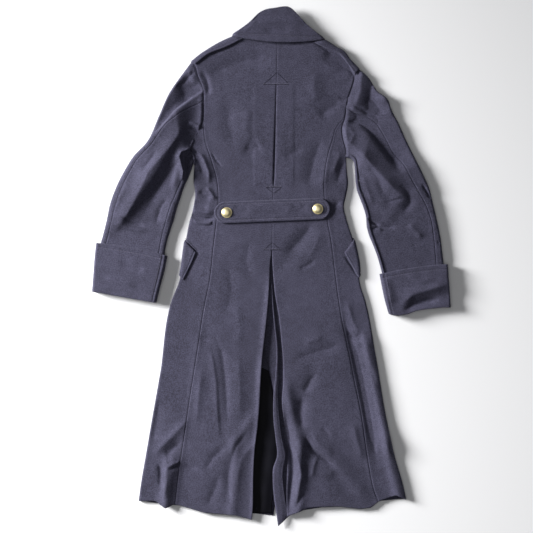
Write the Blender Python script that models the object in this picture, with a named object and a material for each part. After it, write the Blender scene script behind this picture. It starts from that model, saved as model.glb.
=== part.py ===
"""A heavy wool greatcoat laid flat on its front, seen from above with its back up.

The neck points to +Y, the wearer's left lies towards -X, and the coat rests on z = 0.
Each piece that a tailor cuts and sews on is one named object: an open sheet of points on
the cloth's outer face, given its thickness inwards by a Solidify modifier. Lengths in
the tables are millimetres; the meshes are metres.
"""
import math

import bmesh
import bpy
import mathutils
import numpy as np

MM = 0.001
CENTRED = (-1.0, 2.0, 0.0)     # moves the tables' zero to the middle of the coat's box

# Cloth thicknesses and the air between pieces
CLOTH = 2.5        # one ply of melton
TWO_PLY = 4.0      # pressed double cloth: half belt, shoulder straps
CUFF_PLY = 4.6     # turned-back cuff, double cloth with its edge
LINING = 1.0
GAP = 0.3          # between sewn pieces, and between layers that touch
LAY = GAP + CLOTH  # outer face of a single ply that lies on another one

# Rolled edges, measured in plan from the outline
SIDE_ROLL = 7.0
SLEEVE_ROLL = 10.0
ROLL_ANGLES = (0, 30, 60, 90)    # degrees, from the top of the roll to the outline

# Height of the coat's outer back face above the floor, by distance down the coat
LEVELS = (         # y, at the sides, along the middle
    (-620, 8.6, 11.8),
    (-300, 8.8, 11.9),
    (60, 9.2, 12.0),
    (300, 10.0, 12.4),
    (430, 12.5, 13.4),
    (560, 14.0, 14.5),
)
BODY_HALF_WIDTH = 200.0

# Plan outlines and seams of the body: (x, y) from the top down
SIDE_LEFT = ((-182, 262), (-185, 233), (-186, 204), (-182, 180), (-185, 151), (-199, 94),
             (-207, 46), (-213, 2), (-221, -36), (-238, -79), (-266, -252), (-293, -406),
             (-313, -530), (-318, -570))
SIDE_RIGHT = ((180, 262), (182, 233), (185, 199), (180, 170), (175, 146), (182, 113),
              (200, 55), (209, 12), (214, -41), (226, -79), (252, -214), (278, -367),
              (305, -487), (317, -535), (325, -570))
SEAM_LEFT = ((-163, 350), (-159, 307), (-142, 254), (-130, 211), (-126, 166), (-128, 132),
             (-132, 98), (-140, 30), (-145, -19), (-161, -101), (-177, -204),
             (-195, -317), (-208, -406), (-220, -482), (-230, -570))
SEAM_RIGHT = ((176, 358), (158, 336), (147, 302), (137, 270), (129, 226), (128, 173),
              (131, 142), (135, 113), (144, 65), (155, -24), (168, -115), (184, -191),
              (200, -271), (218, -361), (231, -451), (249, -540), (258, -570))
CENTRE_LEFT = ((16, 554), (14, 468), (13, 434), (6, 192), (4, 137), (3, 58), (2.7, 50),
               (2.5, 41), (-1, 12), (-4, -46), (-8, -106), (-16, -178), (-22, -233), (-27, -322),
               (-31, -377), (-37, -422), (-42, -482), (-44, -552), (-46, -570))
CENTRE_RIGHT = ((16, 554), (14, 468), (13, 434), (6, 192), (4, 137), (3, 58), (2.7, 50),
                (2.5, 41), (5, -15), (9, -60), (20, -127), (25, -178), (29, -228), (29, -280),
                (26, -322), (31, -365), (38, -402), (39, -463), (37, -535), (38, -570))
# Shoulder seams from the armhole to the neck, and the shoulders' outlines beside them
SHOULDER_LEFT = ((-185, 487), (-154, 511), (-110, 529), (-67, 550))
SHOULDER_RIGHT = ((204, 464), (185, 490), (168, 512), (136, 526), (104, 541))
SHOULDER_EDGE_LEFT = ((-191, 492), (-154, 521), (-101, 549), (-70, 559))
SHOULDER_EDGE_RIGHT = ((212, 476), (192, 497), (173, 516), (150, 533), (131, 544), (108, 552))
# Armholes from the shoulder point to the armpit
ARMHOLE_LEFT = ((-191, 492), (-185, 487), (-174, 457), (-162, 425), (-161, 391),
                (-163, 350), (-182, 310), (-193, 288), (-182, 262))
ARMHOLE_RIGHT = ((212, 475), (204, 464), (194, 434), (184, 403), (176, 358), (169, 334),
                 (171, 310), (177, 286), (180, 262))
UNDER_ARMHOLE_LEFT = ((-191, 492), (-178, 452), (-160, 400), (-156, 350), (-162, 300),
                      (-182, 262))
UNDER_ARMHOLE_RIGHT = ((212, 475), (198, 440), (178, 395), (168, 345), (168, 300),
                       (180, 262))
# Neck and front edges, on the underside: the left front laps 70 mm or more over the right
FRONT_LEFT = ((-67, 545), (-48, 520), (-22, 504), (34, 492), (84, 458), (110, 329),
              (110, 113), (82, -127), (48, -319), (6, -570))
FRONT_RIGHT = ((104, 537), (84, 514), (50, 502), (-22, 482), (-67, 444), (-94, 329),
               (-106, 113), (-53, -103), (-7, -238), (22, -391), (44, -570))
# The hem, as the coat's lower outline from left to right
HEM_LEVEL = -570.0
HEM = ((-330, -562), (-276, -562), (-264, -571), (-253, -578), (-242, -574), (-233, -569),
       (-209, -575), (-159, -590), (-87, -595), (-46, -606), (38, -599), (54, -592),
       (92, -577), (164, -575), (214, -581), (240, -578), (258, -563), (301, -547),
       (330, -560))
UNDER_HEM = ((-330, -562), (-160, -580), (5, -597), (45, -590), (160, -572), (330, -556))
HEM_REACH = 130.0      # the stretch above the hem that shares its unevenness

# Soft folds of the back face: a ridge (or trough) from one end to the other, its height,
# and how wide it is to its left and to its right, seen from start to end
BODY_FOLDS = (         # x0, y0, x1, y1, height, wide_left, wide_right
    (-240, -480, -256, -580, 9.0, 16, 13),       # flare at the left hem
    (222, -190, 258, -420, 8.0, 12, 9),          # ridge beside the right side seam
    (258, -420, 285, -600, 8.5, 16, 12),
    (40, -300, 64, -420, 6.0, 14, 12),           # roll along the right vent edge
    (64, -420, 62, -620, 8.5, 15, 13),
    (130, -440, 205, -520, 4.5, 22, 14),         # diagonal break in the right skirt
    (-50, -372, -88, -430, 4.0, 16, 13),         # corner of the left skirt turned up
    (-88, -430, -92, -560, 4.5, 16, 12),
    (-150, -190, -125, -370, -2.4, 16, 20),      # trough down the left skirt
    (80, 72, 36, 16, -2.0, 16, 20),              # pull below the right belt end
    (95, -260, 64, -350, -2.0, 18, 22),
)
FLOOR_CLEAR = 6.0      # a trough in one-ply zones never drops the face below this

# Sleeves: points on the outer and inner outline, the height of the face there, and the
# place of the hind and forearm seams as a share of the width from the outer edge
SLEEVE_LEFT = (        # outer x, y, inner x, y, height, hind seam, forearm seam
    (-191, 492, -182, 262, 12.0, 0.400, 0.920),
    (-216, 458, -184, 254, 19.0, 0.370, 0.920),
    (-242, 420, -187, 246, 22.0, 0.330, 0.920),
    (-269, 362, -193, 228, 22.0, 0.190, 0.920),
    (-296, 301, -202, 206, 21.0, 0.100, 0.920),
    (-329, 266, -211, 185, 20.0, 0.090, 0.920),
    (-353, 228, -218, 163, 19.0, 0.090, 0.910),
    (-372, 190, -226, 139, 18.0, 0.090, 0.900),
    (-386, 151, -233, 113, 17.5, 0.090, 0.895),
    (-394, 113, -242, 86, 17.0, 0.085, 0.900),
    (-403, 76, -251, 54, 17.0, 0.085, 0.910),
    (-410, 50, -256, 24, 17.5, 0.085, 0.915),
    (-415, 10, -263, -12, 17.6, 0.085, 0.920),
    (-422, -52, -278, -78, 17.6, 0.085, 0.920),
)
SLEEVE_RIGHT = (       # outer x, y, inner x, y, height, hind seam, forearm seam
    (212, 475, 180, 262, 12.0, 0.450, 0.920),
    (233, 456, 190, 260, 18.0, 0.450, 0.920),
    (257, 420, 200, 250, 20.0, 0.370, 0.920),
    (286, 382, 202, 228, 20.0, 0.290, 0.920),
    (307, 343, 203, 206, 20.0, 0.260, 0.920),
    (324, 305, 206, 185, 20.0, 0.240, 0.920),
    (343, 266, 214, 163, 20.0, 0.200, 0.920),
    (362, 228, 222, 142, 19.0, 0.190, 0.920),
    (379, 190, 228, 120, 19.0, 0.165, 0.920),
    (389, 151, 230, 96, 18.0, 0.105, 0.920),
    (398, 113, 236, 74, 18.0, 0.085, 0.920),
    (406, 74, 246, 50, 17.0, 0.100, 0.920),
    (410, 41, 256, 22, 17.0, 0.110, 0.920),
    (414, 7, 266, -14, 15.5, 0.120, 0.920),
    (423, -88, 287, -102, 15.5, 0.120, 0.920),
)
SLEEVE_FOLDS = (       # x0, y0, x1, y1, height, wide_left, wide_right
    (-186, 414, -292, 300, 6.0, 26, 11),         # overlapping fold below the left cap
    (-205, 350, -282, 215, 5.0, 10, 24),         # long ridge down the left upper arm
    (-282, 215, -392, 62, 4.5, 10, 26),
    (-223, 255, -229, 205, 4.0, 10, 8),          # underarm curl
    (292, 290, 316, 176, 4.0, 24, 14),           # elbow folds of the right sleeve
    (316, 176, 290, 130, 3.5, 14, 16),
    (236, 372, 258, 424, -4.0, 12, 14),          # dents below the right shoulder
    (196, 352, 290, 356, -2.5, 10, 12),
    (238, 106, 280, 100, -3.5, 8, 12),
    (226, 250, 262, 160, 3.0, 14, 16),
)
# Cuffs, wider than the sleeves that they are turned back over
CUFF_LEFT = (          # outer x, y, inner x, y, height
    (-419, 58, -248, 27, 23.0),
    (-423, 20, -256, -12, 23.5),
    (-426, -22, -266, -50, 23.5),
    (-429, -59, -275, -86, 23.0),
)
CUFF_RIGHT = (         # outer x, y, inner x, y, height
    (424, 7, 260, -17, 23.5),
    (426, -28, 266, -48, 24.0),
    (429, -64, 273, -80, 23.5),
    (431, -97, 282, -112, 22.5),
)
CUFF_COVERS = 135.0    # length of sleeve inside its cuff
CUFF_ARCH = 4.0        # the top edge bows upwards
CUFF_MOUTH = (         # part of the width from the outer edge; left drop, right drop
    (0.0, 0, 0.0),
    (0.12, 0, 2.0),
    (0.40, 0, 2.0),
    (0.56, 0, 0.5),
    (0.70, 0, -5.5),
    (0.86, 0, -7.0),
    (0.96, 0, -3.5),
    (1.0, 0, 0.0),
)
CUFF_FOLDS = (
    (318, -84, 420, -72, -3.0, 14, 12),          # dent at the right cuff's mouth
)

# Collar: ends of its turned-down leaf, from the leaf's edge to the fold
COLLAR = (             # left x, y, right x, y, arch above, arch beneath, height, low
    (-94, 553, 130, 545, -9, -2, 17.0, 0.0),
    (-90, 560, 125, 551, 4, 6, 19.0, 0.0),
    (-74, 570, 108, 563, 22, 16, 20.5, 0.0),
    (-54, 581, 90, 575, 40, 26, 20.0, 0.0),
)
COLLAR_ROLL = 9.0
INSET_SLOPE = 2.3      # the ring's ends slope, so an inner ring is this much narrower
STAND_FROM = 0.34      # where the stand starts, as a share from leaf edge to fold

# Half belt
BELT_LENGTH = 278.0
BELT_WIDTH = 52.0
BELT_MIDDLE = (3.0, 134.5)
BELT_TILT = math.radians(2.3)
BELT_BUTTON_INSET = 30.0
BUTTON_RADIUS = 12.7
BUTTON_PROFILE = (     # share of radius, height
    (1.00, 0.0), (1.00, 1.6), (0.94, 2.3), (0.88, 1.9), (0.80, 3.0), (0.62, 4.6),
    (0.38, 5.9), (0.16, 6.5),
)
BUTTON_SIDES = 20

# Shoulder straps, laid over the shoulders
STRAP_FROM = 0.03      # shares of the shoulder's length, from the armhole
STRAP_TO = (0.93, 0.76)       # on the seam and on the outline: cut along the collar
STRAP_CLEAR = 1.0      # from the shoulder's facets
STRAP_OVER = 4.0       # how far a strap reaches in from the seam on the face
STRAP_UNDER = 14.0     # and on the underside
SEAM_SHORT = 2.4       # the back's edge stops short of the shoulder seam, under the strap
WRAP_REACH = 4.5       # least distance from the seam to the outline of the wrap
WRAP_START = 24        # degrees round the shoulder where the forepart's edge lies
SHOULDER_LIFT = (6.4, 58.0, 90.0)    # height, full to, gone at (distance from outline)

# Hip pocket flaps, as a corner, the way along the top and the way down, on the cloth
# unrolled about the side's outline: (distance in from the outline, y)
FLAPS = (              # name, corner in, y, along in, y, down in, y
    ("pocket_flap_left", 31, 35, -66, 60, -26, -66),
    ("pocket_flap_right", 31, 34, -82, 87, -19, -66),
)
FLAP_LIFT = 4.2
FLAP_CLEAR = 0.8       # from the skirt, and more round its folded side
FLAP_FOLD = 1.0
FLAP_NEAR = 10.0
FLAP_ZONE = (-100, 165)        # y from, y to
FLAP_REACH = (62, 72)          # distance in from the outline, left and right

FLAP_FADE = 12.0

SLIT_WELT = (          # x, y along the lower lip of the waist slit
    (-184, 116), (-179, 113), (-163, 109), (-151, 108), (-139, 110),
)
WELT_DEPTH = 9.0

# Pressed pleat underlay below the two back edges
PLEAT = (-41.0, 55.0, 197.0, 438.0)   # x from, x to, y from, y to

# Underlap of the vent: its free edge stands up in the opening
UNDERLAP = (           # y, free edge x, foot x, height of the free edge
    (-40, 1, 3.5, 11.0),
    (-101, 4, 8, 12.0),
    (-151, 9, 13, 12.5),
    (-197, 13, 18, 13.0),
    (-252, 11, 18, 13.5),
    (-307, 6, 16, 14.5),
    (-367, 6, 20, 15.5),
    (-412, 11, 26, 16.5),
    (-454, 14, 34, 17.0),
    (-482, 5, 29, 16.0),
    (-506, 4, 28, 15.0),
    (-552, 7, 33, 13.5),
    (-600, 14, 37, 11.5),
    (-622, 17, 33, 10.8),
)
UNDERLAP_FOOT = 8.4    # face of the underlap where it lies under the right skirt
UNDERLAP_TUCK = 22.0   # how far it reaches under that skirt
UNDERLAP_SLANT = 0.9   # its hem rises away from the free edge
UNDERLAP_SLANT_FROM = -560.0

LINING_Y = (-250.0, -592.0)
LINING_SIDE = -70.0

BODY_ROWS = 22     # from the top of the side seams to the hem
ARM_ROWS = 8       # beside the armhole
BACK_COLUMNS = 11
SLEEVE_ROWS = 17
ARMPIT_BLEND = 200.0   # below this y the rows of a forepart run level
ARMHOLE_GAP = 0.7      # sleeve to body at the shoulder, more towards the armpit
SLEEVE_RISE = 45.0     # run over which a sleeve leaves the level of the back
LAP_RISE = 14.0        # run over which the right front rises over the left one's edge
LAP_TOP = 329.0        # above this y that step runs straight on


# ---------------------------------------------------------------- small helpers

def hermite(stations, values, at):
    """Smooth curve through values at rising stations; tangents from finite differences."""
    stations = np.asarray(stations, float)
    values = np.asarray(values, float)
    at = np.clip(np.asarray(at, float), stations[0], stations[-1])
    slope = np.gradient(values, stations, axis=0)
    i = np.clip(np.searchsorted(stations, at, side="right") - 1, 0, len(stations) - 2)
    step = stations[i + 1] - stations[i]
    u = (at - stations[i]) / step
    if values.ndim > 1:
        u = u[..., None]
        step = step[..., None]
    return ((1 + 2 * u) * (1 - u) ** 2 * values[i] + u * (1 - u) ** 2 * step * slope[i]
            + u * u * (3 - 2 * u) * values[i + 1] + u * u * (u - 1) * step * slope[i + 1])


def x_at(outline, y):
    """x of a top-down outline of (x, y) rows at height y of the plan."""
    rows = np.array(outline, float)[::-1]
    return hermite(rows[:, 1], rows[:, 0], y)


def along(points, share):
    """Place on a smooth curve through plan points, at a share of its chord length."""
    points = np.array(points, float)
    chord = np.r_[0, np.cumsum(np.hypot(*np.diff(points, axis=0).T))]
    return hermite(chord / chord[-1], points, share)


def ease(value):
    """0 below 0, 1 above 1, smooth between."""
    value = np.clip(value, 0, 1)
    return value * value * (3 - 2 * value)


def folds(table, x, y):
    """Sum of soft ridges: height falls off as a bell across each fold and at its ends."""
    total = np.zeros(np.broadcast(x, y).shape)
    for x0, y0, x1, y1, height, wide_left, wide_right in table:
        length = math.hypot(x1 - x0, y1 - y0)
        way = ((x1 - x0) / length, (y1 - y0) / length)
        run = (x - x0) * way[0] + (y - y0) * way[1]
        aside = (x - x0) * -way[1] + (y - y0) * way[0]
        beyond = np.maximum(np.maximum(-run, run - length), 0)
        width = np.where(aside > 0, wide_left, wide_right)
        total = total + height * np.exp(-(aside / width) ** 2
                                        - (beyond / (wide_left + wide_right)) ** 2)
    return total


def face(x, y):
    """Height of the back face of the body at a place in plan."""
    levels = np.array(LEVELS, float)
    side = np.interp(y, levels[:, 0], levels[:, 1])
    middle = np.interp(y, levels[:, 0], levels[:, 2])
    across = np.clip(1 - (x / BODY_HALF_WIDTH) ** 2, 0, 1) ** 0.6
    plain = side + (middle - side) * ease(across)
    return np.maximum(plain + folds(BODY_FOLDS, x, y), np.minimum(plain, FLOOR_CLEAR))


def rounding(distance, roll):
    """Share of the half height reached at a distance in from a rolled edge: an ellipse."""
    return np.sqrt(1 - (1 - np.clip(distance / roll, 0, 1)) ** 2)


def rolled(top, low, distance, above, roll):
    """Height on a roll between a top and a low level, above or below its middle."""
    middle = (top + low) / 2
    reach = rounding(distance, roll) * (top - low) / 2
    return middle + np.where(above, reach, -reach)


def roll_steps(roll):
    """Distances in from the outline at the roll's angles, from its top to the outline."""
    return np.array([roll * (1 - math.sin(math.radians(a))) for a in ROLL_ANGLES])


def material(name, colour, roughness, metallic=0.0):
    made = bpy.data.materials.new(name)
    made.use_nodes = True
    shader = made.node_tree.nodes["Principled BSDF"]
    shader.inputs["Base Color"].default_value = (*colour, 1)
    shader.inputs["Roughness"].default_value = roughness
    shader.inputs["Metallic"].default_value = metallic
    made.diffuse_color = (*colour, 1)
    return made


def cloth(name, grids, finish, thick=CLOTH, turn=False):
    """A sheet through grids of outer points (welded where they share points), given its
    thickness on the inner side."""
    shape = bmesh.new()
    for grid in grids:
        rows = [[shape.verts.new(point * MM) for point in row] for row in grid]
        for upper, lower in zip(rows, rows[1:]):
            for left in range(len(upper) - 1):
                corners = [upper[left], lower[left], lower[left + 1], upper[left + 1]]
                shape.faces.new(corners[::-1] if turn else corners)
    bmesh.ops.remove_doubles(shape, verts=shape.verts, dist=0.02 * MM)
    mesh = bpy.data.meshes.new(name)
    shape.to_mesh(mesh)
    shape.free()
    mesh.materials.append(finish)
    mesh.shade_smooth()
    made = bpy.data.objects.new(name, mesh)
    bpy.context.collection.objects.link(made)
    wall = made.modifiers.new("thickness", 'SOLIDIFY')
    wall.thickness = thick * MM
    wall.offset = -1
    return made


def moved_out(points, distance):
    """Grid points moved along the grid's own normals (rows run down, columns across)."""
    down = np.gradient(points, axis=0)
    across = np.gradient(points, axis=1)
    normal = np.cross(down, across)
    normal /= np.linalg.norm(normal, axis=2, keepdims=True)
    return points + normal * distance


# ---------------------------------------------------------------- body

class Side:
    """One half of the body, with its outlines; sign is -1 on the left, +1 on the right."""

    def __init__(self, sign):
        left = sign < 0
        self.sign = sign
        self.outline = SIDE_LEFT if left else SIDE_RIGHT
        self.seam = SEAM_LEFT if left else SEAM_RIGHT
        self.centre = CENTRE_LEFT if left else CENTRE_RIGHT
        self.shoulder = SHOULDER_LEFT if left else SHOULDER_RIGHT
        self.shoulder_edge = SHOULDER_EDGE_LEFT if left else SHOULDER_EDGE_RIGHT
        self.armhole = ARMHOLE_LEFT if left else ARMHOLE_RIGHT
        self.under_armhole = UNDER_ARMHOLE_LEFT if left else UNDER_ARMHOLE_RIGHT
        self.front = FRONT_LEFT if left else FRONT_RIGHT
        self.name = "left" if left else "right"
        self.flap_reach = FLAP_REACH[0 if left else 1]
        rim = np.array(self.armhole, float)
        chord = np.r_[0, np.cumsum(np.hypot(*np.diff(rim, axis=0).T))]
        self.rim_start = chord[1] / chord[-1]                  # shoulder seam
        self.rim_seam = chord[5 if left else 4] / chord[-1]    # top of the side seam
        self.rows = np.linspace(self.seam[0][1], HEM_LEVEL, BODY_ROWS)

    def low(self, x, y):
        """Height of the underside: on the floor, but over the other front's edge, a
        pocket flap and the shoulder strap."""
        x, y = np.broadcast_arrays(np.asarray(x, float), np.asarray(y, float))
        height = np.zeros(x.shape)
        if self.sign > 0:
            height = LAY * ease((lapped_edge(y) + LAP_RISE - x) / LAP_RISE)
        inward = np.abs(x_at(self.outline, y) - x)
        flap = (ease((y - FLAP_ZONE[0]) / 40) * ease((FLAP_ZONE[1] - y) / 40)
                * ease((self.flap_reach + FLAP_FADE - inward) / FLAP_FADE))
        lift, full, gone = SHOULDER_LIFT
        edge = np.array(self.shoulder_edge, float)
        order = np.argsort(edge[:, 0])
        drop = np.interp(x, edge[order, 0], edge[order, 1]) - y
        beside = (self.shoulder_edge[-1][0] - x) * self.sign
        strap = ease((gone - drop) / (gone - full)) * ease((50 - beside) / 50)
        return np.maximum(height, np.maximum(flap * FLAP_LIFT, strap * lift))

    def flat_columns(self, outer_x, front_x, y):
        """x of the underside's columns from the roll to the front edge: close together
        where the cloth rises over a flap or over the other front's edge."""
        roll = outer_x - self.sign * SIDE_ROLL
        marks = [outer_x - self.sign * self.flap_reach]
        if self.sign < 0:
            marks.append(marks[0] + FLAP_FADE)
        else:
            marks += [lapped_edge(y) + LAP_RISE, lapped_edge(y) + 1]
        marks = np.sort(np.stack(marks, axis=1) * -self.sign, axis=1) * -self.sign
        for i in range(marks.shape[1]):
            near = roll - self.sign * 3.0 * (i + 1)
            far = front_x + self.sign * 3.0 * (marks.shape[1] - i)
            marks[:, i] = np.clip(marks[:, i], np.minimum(near, far), np.maximum(near, far))
        between = [roll + (marks[:, 0] - roll) * share for share in (1 / 3, 2 / 3)]
        middle = (marks[:, -1] + front_x) / 2
        return np.stack(between + list(marks.T) + [middle, front_x], axis=1)

    def wrapped(self, inward, y):
        """Points of the side, unrolled, on straight lines between the forepart's rows:
        inward is the length of cloth from the outline, negative on the underside."""
        around = math.pi / 2 * SIDE_ROLL * 0.9
        turn = np.clip(np.abs(inward) / around, 0, 1) * math.pi / 2
        distance = SIDE_ROLL * (1 - np.cos(turn)) + np.maximum(np.abs(inward) - around, 0)
        step = self.rows[1] - self.rows[0]
        row = np.floor((y - self.rows[0]) / step)
        points = 0
        for nearest, weight in ((row, 1 - (y - self.rows[0]) / step + row),
                                (row + 1, (y - self.rows[0]) / step - row)):
            level = self.rows[0] + nearest * step
            x = x_at(self.outline, level) - self.sign * distance
            z = rolled(face(x, level), self.low(x, level), distance, inward >= 0, SIDE_ROLL)
            points = points + weight[..., None] * np.stack([x, level, z], axis=-1)
        return points


def lapped_edge(y):
    """x where the right front starts to rise over the left one's edge."""
    return x_at(FRONT_LEFT, np.minimum(y, LAP_TOP)) + 1


def hem_drop(table, x, y):
    """How far a place near the hem is moved down by the hem's unevenness."""
    rows = np.array(table, float)
    share = ease((HEM_LEVEL + HEM_REACH - y) / HEM_REACH)
    return (np.interp(x, rows[:, 0], rows[:, 1]) - HEM_LEVEL) * share


def back_panel(side, finish):
    """Half of the back: from the centre seam to the armhole and side seam."""
    armhole = along(side.armhole, np.linspace(side.rim_start, side.rim_seam, ARM_ROWS))
    outer_x = np.r_[armhole[:-1, 0], x_at(side.seam, side.rows)] - side.sign * GAP
    outer_y = np.r_[armhole[:-1, 1], side.rows]
    inner_y = np.r_[np.linspace(side.centre[0][1], side.rows[0], ARM_ROWS)[:-1], side.rows]
    inner_x = x_at(side.centre, inner_y) + side.sign * GAP / 2
    arm = np.clip(np.arange(len(outer_y)) / (ARM_ROWS - 1), 0, 1)
    across = np.linspace(0, 1, BACK_COLUMNS)
    x = inner_x[:, None] + (outer_x - inner_x)[:, None] * across
    y = inner_y[:, None] + (outer_y - inner_y)[:, None] * across
    neck = (side.centre[0],) + side.shoulder[::-1]
    top = along(neck, across)
    straight = np.stack([x[0], y[0]], axis=-1)
    fade = (1 - arm)[:, None] ** 2
    x = x + fade * (top - straight)[:, 0]
    y = y + fade * (top - straight)[:, 1]
    way = np.gradient(top, axis=0) * side.sign
    short = SEAM_SHORT * ease(across / 0.5) / np.hypot(*way.T)
    x[0] += short * way[:, 1]
    y[0] -= short * way[:, 0]
    z = face(x, y)
    y = y + hem_drop(HEM, x, y)
    points = np.stack([x, y, z], axis=-1)
    return cloth("back_" + side.name, [points], finish, turn=side.sign < 0)


def front_panel(side, finish):
    """A forepart: from the side seam on the face, round the side, to the front edge
    underneath, with the stretch beside the armhole and the wrap over the shoulder."""
    steps = roll_steps(SIDE_ROLL)
    armpit_y = side.outline[0][1]
    seam_y = side.rows
    fan = np.clip((seam_y - ARMPIT_BLEND) / (seam_y[0] - ARMPIT_BLEND), 0, 1)
    edge_y = np.where(fan > 0, ARMPIT_BLEND + fan * (armpit_y - ARMPIT_BLEND), seam_y)
    start = np.stack([x_at(side.seam, seam_y) + side.sign * GAP, seam_y], axis=-1)
    outline = np.stack([x_at(side.outline, edge_y), edge_y], axis=-1)
    run = np.hypot(*(start - outline).T)
    # the face, from the seam to the top of the roll, then down the roll
    inner = np.linspace(1, 0, 6)[None, :-1] * (run - SIDE_ROLL)[:, None] + SIDE_ROLL
    distance = np.concatenate([inner, np.broadcast_to(steps, (BODY_ROWS, len(steps)))], 1)
    part = distance / run[:, None]
    plan = outline[:, None] + (start - outline)[:, None] * part[..., None]
    bend = along(side.armhole, 1 - part[0] * (1 - side.rim_seam)) - plan[0]
    plan = plan + (fan ** 2)[:, None, None] * bend
    plan[0, :, 1] -= GAP
    z = rolled(face(plan[..., 0], plan[..., 1]), side.low(plan[..., 0], plan[..., 1]),
               distance, True, SIDE_ROLL)
    upper = np.concatenate([plan, z[..., None]], axis=2)
    upper[..., 1] += hem_drop(HEM, plan[..., 0], plan[..., 1])
    # the underside, from the outline to the front edge
    front_x = x_at(side.front, edge_y)
    under_x = np.concatenate([outline[:, :1] - side.sign * steps[::-1],
                              side.flat_columns(outline[:, 0], front_x, edge_y)], 1)
    under_y = np.broadcast_to(edge_y[:, None], under_x.shape)
    away = np.abs(under_x - outline[:, :1])
    z = rolled(face(under_x, under_y), side.low(under_x, under_y), away, False, SIDE_ROLL)
    level = hem_drop(UNDER_HEM, under_x, under_y)
    rim_drop = hem_drop(HEM, outline[:, :1], under_y)
    level = rim_drop + (level - rim_drop) * ease(away / 40)
    lower = np.stack([under_x, under_y + level, z], axis=-1)
    grids = [np.concatenate([upper, lower[:, 1:]], axis=1)]
    # the chest on the underside, beside the armhole, up to below the shoulder seam
    share = np.linspace(0, 1, ARM_ROWS)
    rim = along(side.under_armhole[::-1], share)
    rim[:, 0] -= side.sign * GAP * (share > 0)
    turn = np.array(side.front, float)
    neck = turn[turn[:, 1] > armpit_y]
    neck = np.vstack([neck, (x_at(side.front, armpit_y), armpit_y)])[::-1]
    end = along(neck, share)
    column_x = np.concatenate([rim[:, :1] - side.sign * steps[::-1],
                               side.flat_columns(rim[:, 0], end[:, 0], (rim + end)[:, 1] / 2)], 1)
    spread = (column_x - rim[:, :1]) / (end - rim)[:, :1]
    plan = rim[:, None] + (end - rim)[:, None] * spread[..., None]
    plan = plan + (share ** 3)[:, None, None] * (along(side.shoulder, spread[-1])
                                                 - plan[-1])
    away = np.hypot(plan[..., 0] - outline[0, 0], plan[..., 1] - armpit_y)
    z = rolled(face(plan[..., 0], plan[..., 1]), side.low(plan[..., 0], plan[..., 1]),
               away, False, SIDE_ROLL)
    chest = np.concatenate([plan, z[..., None]], axis=2)
    chest[0] = lower[0]
    grids.append(chest[::-1])
    # over the shoulder, from its seam on the face to below it
    grids.append(shoulder_wrap(side, chest[-1, :, :2], spread[-1], WRAP_START))
    return cloth("front_" + side.name, grids, finish, turn=side.sign < 0)


def shoulder_wrap(side, seam, spread, first_angle):
    """Rows of points over the shoulder, from beside the seam on the face (a first angle of
    0 is on the seam) round its outline to the underside."""
    edge = along(side.shoulder_edge, spread)
    outward = edge - seam
    reach = np.hypot(*outward.T)
    outward = outward * (np.maximum(reach - TWO_PLY - STRAP_CLEAR, WRAP_REACH) / reach)[:, None]
    top = face(seam[:, 0], seam[:, 1])
    low = side.low(seam[:, 0], seam[:, 1])
    rows = []
    for angle in np.radians((first_angle, 35, 60, 90, 120, 150, 180)):
        plan = seam + outward * math.sin(angle)
        z = (top + low) / 2 + (top - low) / 2 * math.cos(angle)
        rows.append(np.concatenate([plan, z[:, None]], axis=1))
    return np.array(rows)


def shoulder_strap(side, finish):
    """A strap laid over the shoulder from the armhole to the collar."""
    seam_spread, edge_spread = (np.linspace(STRAP_FROM, end, 16) for end in STRAP_TO)
    seam = along(side.shoulder, seam_spread)
    rows = shoulder_wrap(side, seam, edge_spread, 0)
    inward = seam - along(side.shoulder_edge, edge_spread)
    inward /= np.hypot(*inward.T)[:, None]
    ends = [row.copy() for row in (rows[0], rows[-1])]
    for end, reach in zip(ends, (STRAP_OVER, STRAP_UNDER)):
        end[:, :2] += inward * reach
    ends[0][:, 2] = face(*ends[0][:, :2].T)
    rows = np.concatenate([ends[:1], rows, ends[1:]])
    if side.sign > 0:
        rows = rows[:, ::-1]
    outer = moved_out(rows[:, ::-1], STRAP_CLEAR + TWO_PLY)
    return cloth("shoulder_strap_" + side.name, [outer], finish, thick=TWO_PLY)


# ---------------------------------------------------------------- sleeves

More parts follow.
